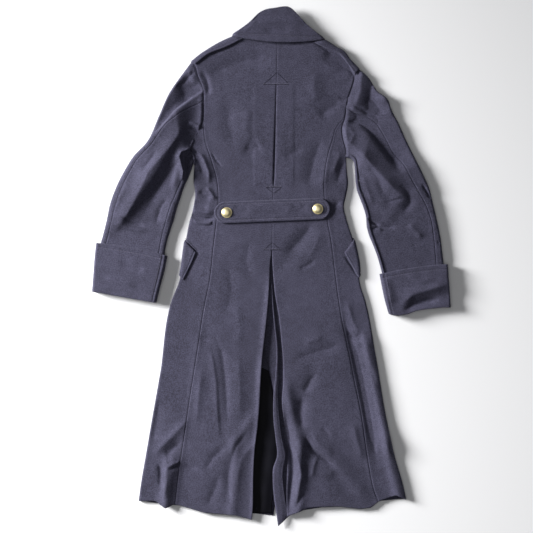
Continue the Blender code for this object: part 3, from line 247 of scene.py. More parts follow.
BODY_CREASES = (       # height, wide_left, wide_right, path
    # below the left shoulder
    (-2.3, 20, 30, ((-161, 454), (-122, 475), (-79, 492), (-31, 499), (12, 497))),
    (-1.7, 5, 8, ((-168, 473), (-154, 451), (-149, 430), (-151, 406))),  # beside the left armhole
    (-1.6, 22, 14, ((122, 516), (161, 492), (190, 463))),               # below the right strap
    (-0.6, 5, 7, ((151, 403), (168, 391), (194, 372))),              # at the right armhole
    (-0.7, 4, 5, ((158, 410), (175, 403), (194, 406))),
    (-1.4, 16, 12, ((113, 358), (144, 382), (170, 391))),
    (1.2, 18, 18, ((108, 482), (103, 434), (110, 386))),
    (-1.6, 14, 16, ((122, 310), (103, 257), (89, 185))),            # down the right shoulder blade
    (1.0, 14, 14, ((144, 281), (134, 228), (113, 180))),
    (-1.2, 20, 20, ((-94, 410), (-103, 348), (-84, 281))),
    (-1.3, 16, 13, ((-65, 290), (-46, 281), (-22, 293))),
    (1.0, 16, 16, ((-55, 391), (-60, 334), (-50, 300))),
    (-1.0, 13, 13, ((31, 257), (60, 281), (79, 276))),
    (-0.9, 1.8, 2.4, ((-144, 276), (-130, 254), (-115, 238))),  # dart mark below the left armhole
    # fold that runs down from the armpit
    (2.6, 8, 6, ((-180, 283), (-161, 257), (-149, 226), (-149, 194))),
    (-1.8, 5, 6, ((-178, 264), (-168, 240), (-163, 218))),
    (-1.5, 9, 9, ((-173, 185), (-158, 170), (-142, 166))),
    (1.8, 5, 5, ((-156, 194), (-142, 175), (-132, 158))),
    (-3.2, 2.6, 2.4, ((-204, 132), (-190, 125), (-178, 120), (-163, 116), (-151, 115),  # the slit
        (-132, 119))),
    # and the cloth that bulges above it
    (2.0, 7, 5, ((-199, 146), (-178, 134), (-156, 130), (-132, 130))),
    (-1.6, 7, 6, ((-190, 154), (-170, 149), (-149, 142))),
    (-2.0, 3, 6, ((89, 552), (115, 534), (134, 522), (164, 506), (181, 487), (200, 458),  # right strap
        (214, 439))),
    # left strap
    (-1.2, 4, 3, ((-199, 480), (-185, 485), (-154, 506), (-110, 523), (-79, 539), (-60, 554))),
    (-1.6, 5, 3, ((-84, 545), (-34, 538), (0, 533), (38, 532), (74, 534), (118, 536))),        # collar
    (-1.2, 2.4, 2.4, ((175, 30), (187, 11), (199, -7), (211, -26))),              # right flap
    (-0.8, 1.6, 1.6, ((-206, 64), (-192, 49), (-174, 35), (-187, 12), (-203, -22))),
    (1.3, 10, 10, ((168, 281), (158, 252), (146, 218))),             # below the right armpit
    (-1.2, 9, 8, ((178, 262), (166, 230), (158, 194))),
    (-1.5, 7, 9, ((168, 161), (151, 142), (139, 122))),
    (-1.5, 13, 16, ((103, 108), (77, 70), (34, 26))),            # pull below the right belt end
    (-0.9, 4, 5, ((65, -7), (84, 2), (108, 17))),
    (0.6, 10, 10, ((118, 84), (103, 41), (84, 12))),
    (-0.8, 2.2, 4, ((-60, 113), (0, 115), (70, 118))),
    (-0.7, 12, 12, ((-50, 70), (-60, 12), (-46, -36))),
    (-0.7, 12, 12, ((-103, 12), (-94, -55), (-108, -122))),
    (0.6, 14, 14, ((-84, -79), (-74, -146), (-84, -199))),
    (1.2, 5, 14, ((-161, -170), (-149, -190), (-139, -228), (-132, -276), (-130, -329),  # left skirt
        (-125, -396), (-120, -430))),
    (-1.5, 8, 10, ((-139, -161), (-118, -204), (-110, -262), (-106, -329), (-103, -391))),
    (-0.6, 5, 6, ((-173, -168), (-161, -173), (-146, -170))),
    (1.3, 14, 18, ((-79, -199), (-74, -290), (-74, -377))),
    (1.0, 10, 10, ((-166, -238), (-173, -310), (-180, -386))),
    (-1.6, 14, 12, ((-266, -314), (-276, -377), (-286, -434))),            # left front of the skirt
    (1.8, 13, 10, ((-194, -358), (-223, -391), (-254, -422), (-286, -456))),
    (-1.6, 10, 12, ((-214, -415), (-238, -439), (-262, -468))),
    (2.0, 5, 8, ((-259, -434), (-252, -458), (-250, -478), (-252, -516), (-257, -559))),
    (-1.7, 6, 3.5, ((-271, -468), (-266, -492), (-266, -535))),
    (1.2, 2.4, 3.4, ((-254, -478), (-238, -473), (-216, -466))),
    (-1.0, 3, 3, ((-247, -487), (-233, -482), (-216, -478))),
    (-0.8, 3, 4, ((-209, -470), (-192, -478), (-175, -478))),
    (-1.9, 9, 10, ((-46, -377), (-65, -406), (-84, -430), (-94, -458), (-101, -492),  # left vent corner
        (-101, -526), (-94, -564))),
    (1.1, 14, 9, ((-22, -406), (-46, -430), (-67, -454), (-79, -487), (-79, -526))),
    (-1.0, 8, 8, ((-161, -487), (-137, -454), (-108, -430))),
    (-1.2, 12, 10, ((-156, -559), (-137, -526), (-122, -487))),
    (-1.1, 10, 12, ((50, -223), (79, -214), (108, -204), (142, -194), (175, -178))),     # right skirt
    (0.8, 9, 9, ((79, -187), (103, -175), (127, -168))),
    (-1.2, 6, 5, ((180, -156), (202, -168), (223, -161))),  # dent beside the right side seam
    (0.7, 6, 5, ((190, -180), (206, -185), (228, -178))),
    (-3.4, 9, 12, ((166, -94), (182, -146), (202, -204), (218, -271), (233, -348), (247, -425),
        (259, -497))),
    (1.0, 8, 8, ((180, -79), (197, -132), (218, -170))),
    (-1.2, 6, 9, ((216, -228), (238, -247), (252, -281))),
    (-1.4, 8, 8, ((113, -252), (96, -271), (79, -305))),
    (-1.8, 9, 12, ((77, -305), (70, -353), (79, -396))),
    (-2.8, 4, 5, ((79, -401), (89, -422), (103, -444), (130, -461), (161, -482))),
    (1.0, 9, 9, ((94, -391), (118, -430), (156, -451))),
    (1.1, 5, 6, ((113, -449), (103, -473), (96, -506))),
    (-1.0, 5, 5, ((89, -468), (84, -497), (77, -521))),
    (-0.8, 4, 5, ((120, -384), (132, -394), (144, -408))),
    (-0.9, 14, 16, ((142, -487), (170, -516), (194, -545))),
    (1.5, 10, 14, ((194, -367), (209, -425), (223, -468))),
    (-1.5, 5, 7, ((60, -559), (70, -540), (84, -530))),
    (1.7, 6, 5, ((38, -406), (54, -434), (68, -470), (73, -494), (63, -528), (59, -559))),
    # beside the vent
    (-2.8, 8, 7, ((31, -329), (37, -377), (42, -415), (49, -451), (53, -482), (48, -516),
        (41, -583))),
)
print(len(BODY_CREASES), "creases set by hand")

# %% Level of the back
LEVELS = (         # y, height at the sides, height along the middle
    (-620, 8.6, 11.8),
    (-300, 8.8, 11.9),
    (60, 9.2, 12.0),
    (300, 10.0, 12.4),
    (430, 12.5, 13.4),
    (560, 14.0, 14.5),
)
BODY_HALF_WIDTH = 200.0
FLOOR_CLEAR = 6.0


def face(x, y):
    """Height of the back: the levels read at y, crowned across as ease((1 - (x/200)^2)^0.6),
    plus the large folds. A trough never comes nearer to the floor than 6 mm."""
    levels = np.array(LEVELS, float)
    side = np.interp(y, levels[:, 0], levels[:, 1])
    middle = np.interp(y, levels[:, 0], levels[:, 2])
    across = np.clip(1 - (x / BODY_HALF_WIDTH) ** 2, 0, 1) ** 0.6
    plain = side + (middle - side) * ease(across)
    return np.maximum(plain + folds(BODY_FOLDS, x, y), np.minimum(plain, FLOOR_CLEAR))


PLEAT = (-41.0, 55.0, 197.0, 438.0)      # x from, x to, y from, y to of the pleat's third layer
PRESSED_STEP = 0.8
PRESSED_RUN = (7.0, 12.0, 6.0)           # run of the step at the sides, the foot and the head
LOWEST_BACK = 3.4      # a crease never comes nearer to the floor


def pressed(x, y):
    """The pleat's hidden layer lifts the back by 0.8 mm where it lies beneath, so its two long
    edges show as faint steps."""
    x0, x1, y0, y1 = PLEAT
    side, foot, head = PRESSED_RUN
    across = ease((x - x0) / side + 0.5) * ease((x1 - x) / side + 0.5)
    down = ease((y - y0) / foot + 0.5) * ease((y1 - y) / head + 0.5)
    return PRESSED_STEP * across * down


def draped(x, y):
    """The height that shows: the level and large folds, the creases and the pleat's steps."""
    height = face(x, y) + creases(BODY_CREASES, x, y) + pressed(x, y)
    return np.maximum(height, LOWEST_BACK)


print("the middle of the back lies", round(float(draped(np.array(60.0), np.array(100.0))), 1),
      "mm up")

# %% [markdown]
# ## Rolled edges
#
# The coat is a flattened tube. Along the side of the body and along both sides of a sleeve the
# cloth rolls from the face to the underside. The roll's section is half an ellipse: a fixed
# width in plan, and as high as the distance between the two layers.

# %% Rolls and meshes
def rounding(distance, roll):
    """Share of the half height reached at a distance in from a rolled edge: sqrt(1-(1-d)^2)."""
    return np.sqrt(1 - (1 - np.clip(distance / roll, 0, 1)) ** 2)


def bell(distance, width):
    """exp(-(distance / width)^2): grooves and dents all have this profile."""
    return np.exp(-(distance / width) ** 2)


def rolled(top, low, distance, above, roll):
    """Height between a top and a low level, above or below their middle."""
    reach = rounding(distance, roll) * (top - low) / 2
    return (top + low) / 2 + np.where(above, reach, -reach)


def roll_steps(roll, count=9):
    """Distances in from the outline, evenly spread in angle, from the roll's top to the
    outline."""
    return roll * (1 - np.sin(np.linspace(0, math.pi / 2, count)))


def spaced(width, fine, count):
    """Distances across a panel of changing width, row by row: a fine set of fixed distances
    at both edges, where the seams are, and an even spread between them."""
    width = np.asarray(width, float)[:, None]
    fine = np.asarray(fine, float)[None, :] + 0 * width
    middle = fine[:, -1:] + (width - 2 * fine[:, -1:]) * np.linspace(0, 1, count + 2)[1:-1]
    return np.concatenate([fine, middle, width - fine[:, ::-1]], axis=1)


FINE = (0, 0.7, 1.5, 2.4, 3.5, 5.0, 7.0, 9.5)


def shifted(points, distance):
    """Grid points moved along the grid's own normals (rows run down, columns across)."""
    normal = np.cross(np.gradient(points, axis=0), np.gradient(points, axis=1))
    normal /= np.linalg.norm(normal, axis=2, keepdims=True)
    return points + normal * np.asarray(distance)[..., None]


SEWN = "_sewn"         # ends the name of each piece; the solid that it stands for lacks it
WELD = 0.02            # points nearer than this are one


def welded(mesh, sides=0):
    """Joins points that fall together, and fills holes of up to so many sides."""
    shape = bmesh.new()
    shape.from_mesh(mesh)
    bmesh.ops.remove_doubles(shape, verts=shape.verts, dist=WELD * MM)
    if sides:
        bmesh.ops.holes_fill(shape, edges=shape.edges, sides=sides)
        bmesh.ops.recalc_face_normals(shape, faces=shape.faces)
    shape.to_mesh(mesh)
    shape.free()


def meshed(name, ending, corners, quads, finish, weld=False):
    """An object from lists of points and of quads that number them, centred and in metres."""
    corners = (np.concatenate(corners) + CENTRED) * MM
    quads = np.concatenate(quads)
    mesh = bpy.data.meshes.new(name)
    mesh.vertices.add(len(corners))
    mesh.vertices.foreach_set("co", corners.ravel())
    mesh.loops.add(quads.size)
    mesh.loops.foreach_set("vertex_index", quads.ravel().astype(np.int32))
    mesh.polygons.add(len(quads))
    mesh.polygons.foreach_set("loop_start", np.arange(0, quads.size, 4, dtype=np.int32))
    mesh.update(calc_edges=True)
    if weld:
        welded(mesh)
    mesh.validate()
    mesh.shade_smooth()
    mesh.materials.append(finish)
    made = bpy.data.objects.new(name + ending, mesh)
    bpy.context.collection.objects.link(made)
    return made


def cloth(name, grids, finish, thick=CLOTH, turn=False):
    """One mesh from grids of points on the outer face: the quads of each grid are counted off
    from its rows and columns, shared rows are welded, and Solidify adds the thickness."""
    corners, quads, base = [], [], 0
    for grid in grids:
        rows, across = grid.shape[:2]
        index = base + np.arange(rows * across).reshape(rows, across)
        found = np.stack([index[:-1, :-1], index[1:, :-1], index[1:, 1:], index[:-1, 1:]], -1)
        quads.append(found.reshape(-1, 4)[:, ::-1] if turn else found.reshape(-1, 4))
        corners.append(grid.reshape(-1, 3))
        base += rows * across
    made = meshed(name, SEWN, corners, quads, finish, weld=len(grids) > 1)
    if thick:
        wall = made.modifiers.new("thickness", "SOLIDIFY")
        wall.thickness = thick * MM
        wall.offset = -1
    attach(made, "root")
    print(name, sum(map(len, quads)), "quads")
    return made


# %% [markdown]
# ## Materials
#
# Melton is wool that was woven, shrunk and brushed until no thread shows. What the eye sees is a
# felt of short fibres: a mottled colour, a fine uneven surface, and a pale sheen where it is
# seen at a slant. One node group makes the mottling and the fibres, and the cloth and the
# thread both use it, each with a pair of colours. The thread is about twice as pale as the
# cloth, and a near-black thread paints the shade of the stitched lines on the back.

# %% Node group of the nap
def node(nodes, kind, **values):
    """A new node with inputs set by name; an underscore stands for the space in a name."""
    made = nodes.new(kind)
    for key, value in values.items():
        made.inputs[key.replace("_", " ")].default_value = value
    return made


def toned(nodes, links, factor, first, second):
    """Colour between two, each a colour or a socket, by the factor's socket."""
    made = nodes.new("ShaderNodeMix")
    made.data_type = "RGBA"
    links.new(factor, made.inputs["Factor"])
    for key, value in (("A", first), ("B", second)):
        if isinstance(value, tuple):
            made.inputs[key].default_value = value
        else:
            links.new(value, made.inputs[key])
    return made.outputs["Result"]


def felted():
    """Colour and height of felted wool. Broad, middle and clumped noise, weighted 0.15, 0.15
    and 0.70, blend the dark and the light colour. The height is 0.6 clumps and 0.4 fibres."""
    group = bpy.data.node_groups.new("felted wool", "ShaderNodeTree")
    for name, kind in (("Dark", "NodeSocketColor"), ("Light", "NodeSocketColor")):
        group.interface.new_socket(name, in_out="INPUT", socket_type=kind)
    group.interface.new_socket("Colour", in_out="OUTPUT", socket_type="NodeSocketColor")
    group.interface.new_socket("Height", in_out="OUTPUT", socket_type="NodeSocketFloat")
    nodes, links = group.nodes, group.links
    entry = nodes.new("NodeGroupInput")
    leave = nodes.new("NodeGroupOutput")
    place = nodes.new("ShaderNodeTexCoord")

    def noise(scale, detail, roughness):
        """Blender's noise on object coordinates, with a scale in waves for each metre."""
        made = node(nodes, "ShaderNodeTexNoise", Scale=scale, Detail=detail,
                    Roughness=roughness)
        links.new(place.outputs["Object"], made.inputs["Vector"])
        return made.outputs["Fac"]

    def blend(kind, first, second):
        """A Math node of two values, each a socket or a number."""
        made = nodes.new("ShaderNodeMath")
        made.operation = kind
        for socket, value in zip(made.inputs, (first, second)):
            if isinstance(value, float):
                socket.default_value = value
            else:
                links.new(value, socket)
        return made.outputs[0]

    broad = noise(7.0, 2.0, 0.5)
    middle = noise(55.0, 3.0, 0.6)
    clump = noise(420.0, 3.0, 0.7)
    fibre = noise(1900.0, 2.0, 0.6)
    mottle = blend("ADD", blend("MULTIPLY", broad, 0.15), blend("MULTIPLY", middle, 0.15))
    mottle = blend("ADD", mottle, blend("MULTIPLY", clump, 0.70))
    spread = node(nodes, "ShaderNodeMapRange", From_Min=0.38, From_Max=0.64)
    links.new(mottle, spread.inputs["Value"])
    colour = toned(nodes, links, spread.outputs["Result"], entry.outputs["Dark"],
                   entry.outputs["Light"])
    links.new(colour, leave.inputs["Colour"])
    height = blend("ADD", blend("MULTIPLY", clump, 0.6), blend("MULTIPLY", fibre, 0.4))
    links.new(height, leave.inputs["Height"])
    return group


wool_nap = felted()
print("group", wool_nap.name, "with", len(wool_nap.nodes), "nodes")

# %% Cloth, thread, lining and gilt
def blank(name):
    """A new material with its nodes, its links and its shader."""
    made = bpy.data.materials.new(name)
    made.use_nodes = True
    tree = made.node_tree
    return made, tree.nodes, tree.links, tree.nodes["Principled BSDF"]


def set_inputs(shader, **values):
    """Values on the shader's own sockets; an underscore stands for a space."""
    for key, value in values.items():
        shader.inputs[key.replace("_", " ")].default_value = value


def woollen(name, dark, light, bump, sheen):
    """A woollen material: the felted group feeds colour and bump, and the shader's own
    sheen gives the pale bloom of the nap."""
    made, nodes, links, shader = blank(name)
    nap = nodes.new("ShaderNodeGroup")
    nap.node_tree = wool_nap
    nap.inputs["Dark"].default_value = (*dark, 1)
    nap.inputs["Light"].default_value = (*light, 1)
    raised = node(nodes, "ShaderNodeBump", Strength=bump, Distance=0.0012)
    links.new(nap.outputs["Colour"], shader.inputs["Base Color"])
    links.new(nap.outputs["Height"], raised.inputs["Height"])
    links.new(raised.outputs["Normal"], shader.inputs["Normal"])
    set_inputs(shader, Roughness=0.92, Specular_IOR_Level=0.25, Sheen_Weight=sheen,
               Sheen_Roughness=0.45, Sheen_Tint=(0.75, 0.76, 1.0, 1))
    return made


melton = woollen("melton", (0.023, 0.022, 0.037), (0.076, 0.073, 0.118), 0.7, 0.10)
# The thread is about twice as pale as the cloth; in the rows above the triangles' bases it is a painted
# highlight.
thread = woollen("thread", (0.080, 0.077, 0.112), (0.160, 0.154, 0.215), 0.3, 0.1)
# A near-black thread, far darker than the cloth: painted shade that stands for the hollows of the
# stitched lines on the back.
sunk_thread = woollen("sunk_thread", (0.006, 0.006, 0.011), (0.016, 0.015, 0.026), 0.3, 0.0)


def satin():
    """Lining satin: a smooth dark cloth, its colour made darker still as painted shade of the deep
    vent. Fine diagonal ribs of a wave texture carry the bump, and broad noise varies the colour
    and the roughness."""
    made, nodes, links, shader = blank("lining_satin")
    place = nodes.new("ShaderNodeTexCoord")
    rib = node(nodes, "ShaderNodeTexWave", Scale=600.0, Distortion=0.6)
    rib.bands_direction = "DIAGONAL"
    raised = node(nodes, "ShaderNodeBump", Strength=0.25, Distance=0.0002)
    patch = node(nodes, "ShaderNodeTexNoise", Scale=25.0)
    gloss = node(nodes, "ShaderNodeMapRange", To_Min=0.48, To_Max=0.66)
    for texture in (rib, patch):
        links.new(place.outputs["Object"], texture.inputs["Vector"])
    links.new(rib.outputs["Fac"], raised.inputs["Height"])
    links.new(raised.outputs["Normal"], shader.inputs["Normal"])
    links.new(patch.outputs["Fac"], gloss.inputs["Value"])
    links.new(gloss.outputs["Result"], shader.inputs["Roughness"])
    set_inputs(shader, Specular_IOR_Level=0.12)
    # Near-black navy: the satin's own dark colour, made darker still as painted shade of the deep vent.
    links.new(toned(nodes, links, patch.outputs["Fac"], (0.0015, 0.0015, 0.0030, 1),
                    (0.0060, 0.0058, 0.0105, 1)), shader.inputs["Base Color"])
    return made


def gilt():
    """Gilt brass: a polished metal whose colour and gloss vary a little with wear."""
    made, nodes, links, shader = blank("gilt_brass")
    set_inputs(shader, Metallic=1.0)
    place = nodes.new("ShaderNodeTexCoord")
    wear = node(nodes, "ShaderNodeTexNoise", Scale=160.0, Detail=4.0)
    gloss = node(nodes, "ShaderNodeMapRange", To_Min=0.36, To_Max=0.58)
    links.new(place.outputs["Object"], wear.inputs["Vector"])
    links.new(wear.outputs["Fac"], gloss.inputs["Value"])
    links.new(gloss.outputs["Result"], shader.inputs["Roughness"])
    links.new(toned(nodes, links, wear.outputs["Fac"], (0.80, 0.66, 0.33, 1),
                    (1.00, 0.92, 0.62, 1)), shader.inputs["Base Color"])
    return made


lining_satin = satin()
gilt_brass = gilt()
print(len(bpy.data.materials), "materials")

# %% [markdown]
# ## The two halves of the body
#
# A tailor cuts the back in two halves that meet at the centre seam. Each forepart starts at the
# side seam, goes round the side and ends at the front edge underneath. The halves differ here,
# because the coat was laid by hand, so every outline has a left and a right table.

# %% One half and its outlines
LAP_RISE = 14.0        # run over which the right front rises over the left one's edge
LAP_TOP = 329.0
FLAP_LIFT = 4.2        # the underside is lifted where a pocket flap wraps under it
FLAP_ZONE = (-100, 165)
FLAP_REACH = (62, 72)
FLAP_FADE = 12.0
SHOULDER_LIFT = (6.4, 58.0, 90.0)
ARMPIT_BLEND = 200.0
SEAM_POINT = (5, 4)    # point of each armhole's table where the side seam starts


class Side:
    """One half of the body with its outlines; sign is -1 on the left and +1 on the right."""

    def __init__(self, sign):
        left = sign < 0
        self.sign = sign
        self.name = "left" if left else "right"
        self.outline = SIDE_LEFT if left else SIDE_RIGHT
        self.seam = SEAM_LEFT if left else SEAM_RIGHT
        self.centre = CENTRE_LEFT if left else CENTRE_RIGHT
        self.shoulder = SHOULDER_LEFT if left else SHOULDER_RIGHT
        self.shoulder_edge = SHOULDER_EDGE_LEFT if left else SHOULDER_EDGE_RIGHT
        self.armhole = ARMHOLE_LEFT if left else ARMHOLE_RIGHT
        self.under_armhole = UNDER_ARMHOLE_LEFT if left else UNDER_ARMHOLE_RIGHT
        self.front = FRONT_LEFT if left else FRONT_RIGHT
        self.flap_reach = FLAP_REACH[0 if left else 1]
        rim = np.array(self.armhole, float)
        chord = np.r_[0, np.cumsum(np.hypot(*np.diff(rim, axis=0).T))]
        self.rim_start = chord[1] / chord[-1]
        self.rim_seam = chord[SEAM_POINT[0 if left else 1]] / chord[-1]
        self.top = self.seam[0][1]
        count = int((self.top - HEM_LEVEL) / ROW_STEP)
        self.rows = np.linspace(self.top, HEM_LEVEL, count)

    def low(self, x, y):
        """Height of the underside: on the floor, but lifted over the other front's edge,
        over a pocket flap and over the shoulder strap, each with a smooth step."""
        x, y = np.broadcast_arrays(np.asarray(x, float), np.asarray(y, float))
        height = np.zeros(x.shape)
        if self.sign > 0:
            lapped = x_at(FRONT_LEFT, np.minimum(y, LAP_TOP)) + 1
            height = LAY * ease((lapped + LAP_RISE - x) / LAP_RISE)
        inward = np.abs(x_at(self.outline, y) - x)
        flap = (ease((y - FLAP_ZONE[0]) / 40) * ease((FLAP_ZONE[1] - y) / 40)
                * ease((self.flap_reach + FLAP_FADE - inward) / FLAP_FADE))
        lift, full, gone = SHOULDER_LIFT
        edge = np.array(self.shoulder_edge, float)
        order = np.argsort(edge[:, 0])
        drop = np.interp(x, edge[order, 0], edge[order, 1]) - y
        beside = (self.shoulder_edge[-1][0] - x) * self.sign
        strap = ease((gone - drop) / (gone - full)) * ease((50 - beside) / 50)
        return np.maximum(height, np.maximum(flap * FLAP_LIFT, strap * lift))

    def wrapped(self, inward, y):
        """Points of the side, unrolled: inward is the length of cloth from the outline,
        negative on the underside."""
        around = math.pi / 2 * SIDE_ROLL * 0.9
        turn = np.clip(np.abs(inward) / around, 0, 1) * math.pi / 2
        distance = SIDE_ROLL * (1 - np.cos(turn)) + np.maximum(np.abs(inward) - around, 0)
        x = x_at(self.outline, y) - self.sign * distance
        z = rolled(draped(x, y), self.low(x, y), distance, inward >= 0, SIDE_ROLL)
        return np.stack([x, y + 0 * x, z], axis=-1)


def hem_drop(table, x, y):
    """How far a place near the hem is moved by the hem's unevenness, eased in over 130 mm."""
    rows = np.array(table, float)
    share = ease((HEM_LEVEL + HEM_REACH - y) / HEM_REACH)
    return (np.interp(x, rows[:, 0], rows[:, 1]) - HEM_LEVEL) * share


left, right = Side(-1), Side(1)
print(len(left.rows), "rows from the side seam's top to the hem")

# %% [markdown]
# ## Seams
#
# A seam is two edges turned inwards and pressed. Seen from outside it is a fine valley, and the
# turned edges lift the cloth a little beside it. Where the edges aren't joined, at the pleat and
# at the vent, each one is a fold with a round edge.

# %% Height beside an edge
SEAM_DEPTH = 0.4
SEAM_WIDTH = 0.9
ALLOWANCE = (0.35, 9.0, 4.0)       # lift, reach, run over which it ends


def seam_shape(distance):
    """A valley, -0.75 exp(-(d/0.9)^2), on a lift of 0.35 mm that ends 9 mm from the seam."""
    lift, reach, run = ALLOWANCE
    return (lift * ease((reach - distance) / run)
            - (SEAM_DEPTH + lift) * bell(distance, SEAM_WIDTH))


def fold_shape(distance, radius, depth):
    """A folded edge: the quarter ellipse that ends depth below the face."""
    return -depth * (1 - rounding(distance, radius))


CENTRE_GAP = 0.02
FLAT_SEAM = 0.5        # the centre seam is pressed flatter than the others
PLEAT_FOLD = (4.5, 1.7)      # radius and depth of the pleat's folded edges
VENT_FOLD = (3.2, 1.4)
PLEAT_GAP = 1.7
PLEAT_TOP, PLEAT_END = 436.0, 192.0
VENT_TOP = 40.0


def centre_shape(distance, y):
    """Along the centre line: seam, then the pleat's folds, seam again, then the vent."""
    pleat = ease((PLEAT_TOP - y) / 8 + 0.5) * ease((y - PLEAT_END) / 8 + 0.5)
    vent = ease((VENT_TOP - y) / 10 + 0.5)
    return (FLAT_SEAM * seam_shape(distance) * (1 - pleat) * (1 - vent)
            + fold_shape(distance, *PLEAT_FOLD) * pleat
            + fold_shape(distance, *VENT_FOLD) * vent)


def pleat_opening(y):
    """Half the gap between the pleat's folds, in millimetres: it opens over the upper part
    and closes just above the lower triangle."""
    share = (PLEAT_TOP - y) / (PLEAT_TOP - PLEAT_END)
    return PLEAT_GAP * ease(share / 0.7) * ease((1 - share) / 0.08)


print("the seam's valley is", round(float(-seam_shape(np.array(0.0))), 2), "mm deep")

# %% The back
def back_panel(side):
    """Rows run from the neck down, columns from the centre line to the armhole and the side
    seam. The first rows bend up to the shoulder seam."""
    arm_rows = int((side.centre[0][1] - side.top) / ROW_STEP)
    armhole = along(side.armhole, np.linspace(side.rim_start, side.rim_seam, arm_rows))
    outer_x = np.r_[armhole[:-1, 0], x_at(side.seam, side.rows)] - side.sign * SEAM_GAP
    outer_y = np.r_[armhole[:-1, 1], side.rows]
    inner_y = np.r_[np.linspace(side.centre[0][1], side.top, arm_rows)[:-1], side.rows]
    inner_x = x_at(side.centre, inner_y) + side.sign * (CENTRE_GAP + pleat_opening(inner_y))
    run = np.hypot(outer_x - inner_x, outer_y - inner_y)
    distance = spaced(run, FINE, 60)
    part = distance / run[:, None]
    x = inner_x[:, None] + (outer_x - inner_x)[:, None] * part
    y = inner_y[:, None] + (outer_y - inner_y)[:, None] * part
    top = along((side.centre[0],) + side.shoulder[::-1], part[0])
    fade = np.clip(1 - np.arange(len(run)) / (arm_rows - 1), 0, 1)[:, None] ** 2
    x = x + fade * (top[:, 0] - x[0])
    y = y + fade * (top[:, 1] - y[0])
    z = draped(x, y) + centre_shape(distance, y) + seam_shape(run[:, None] - distance)
    y = y + hem_drop(HEM, x, y)
    return cloth("back_" + side.name, [np.stack([x, y, z], axis=-1)], melton,
                 turn=side.sign < 0)


backs = [back_panel(side) for side in (left, right)]

# %% [markdown]
# ## Foreparts
#
# A forepart is one sheet too. Its rows start at the side seam, follow the face outwards, roll
# round the side and run on underneath to the front edge. Beside the armhole the sheet has no
# face: there it is the chest, underneath, and it wraps up over the shoulder to the shoulder seam.

# %% The foreparts
WRAP_REACH = 4.5
WRAP_START = 8.0
STRAP_CLEAR = 1.0


def shoulder_wrap(side, seam, spread, angles):
    """Rows over the shoulder: a half ellipse from the seam on the face, round the shoulder's
    outline, to below the seam. The angles are degrees from the seam."""
    edge = along(side.shoulder_edge, spread)
    outward = edge - seam
    reach = np.hypot(*outward.T)
    outward = outward * (np.maximum(reach - TWO_PLY - STRAP_CLEAR, WRAP_REACH) / reach)[:, None]
    top = face(seam[:, 0], seam[:, 1])
    low = side.low(seam[:, 0], seam[:, 1])
    turn = np.radians(angles)[:, None]
    plan = seam + outward * np.sin(turn)[..., None]
    z = (top + low) / 2 + (top - low) / 2 * np.cos(turn)
    return np.concatenate([plan, z[..., None]], axis=2)


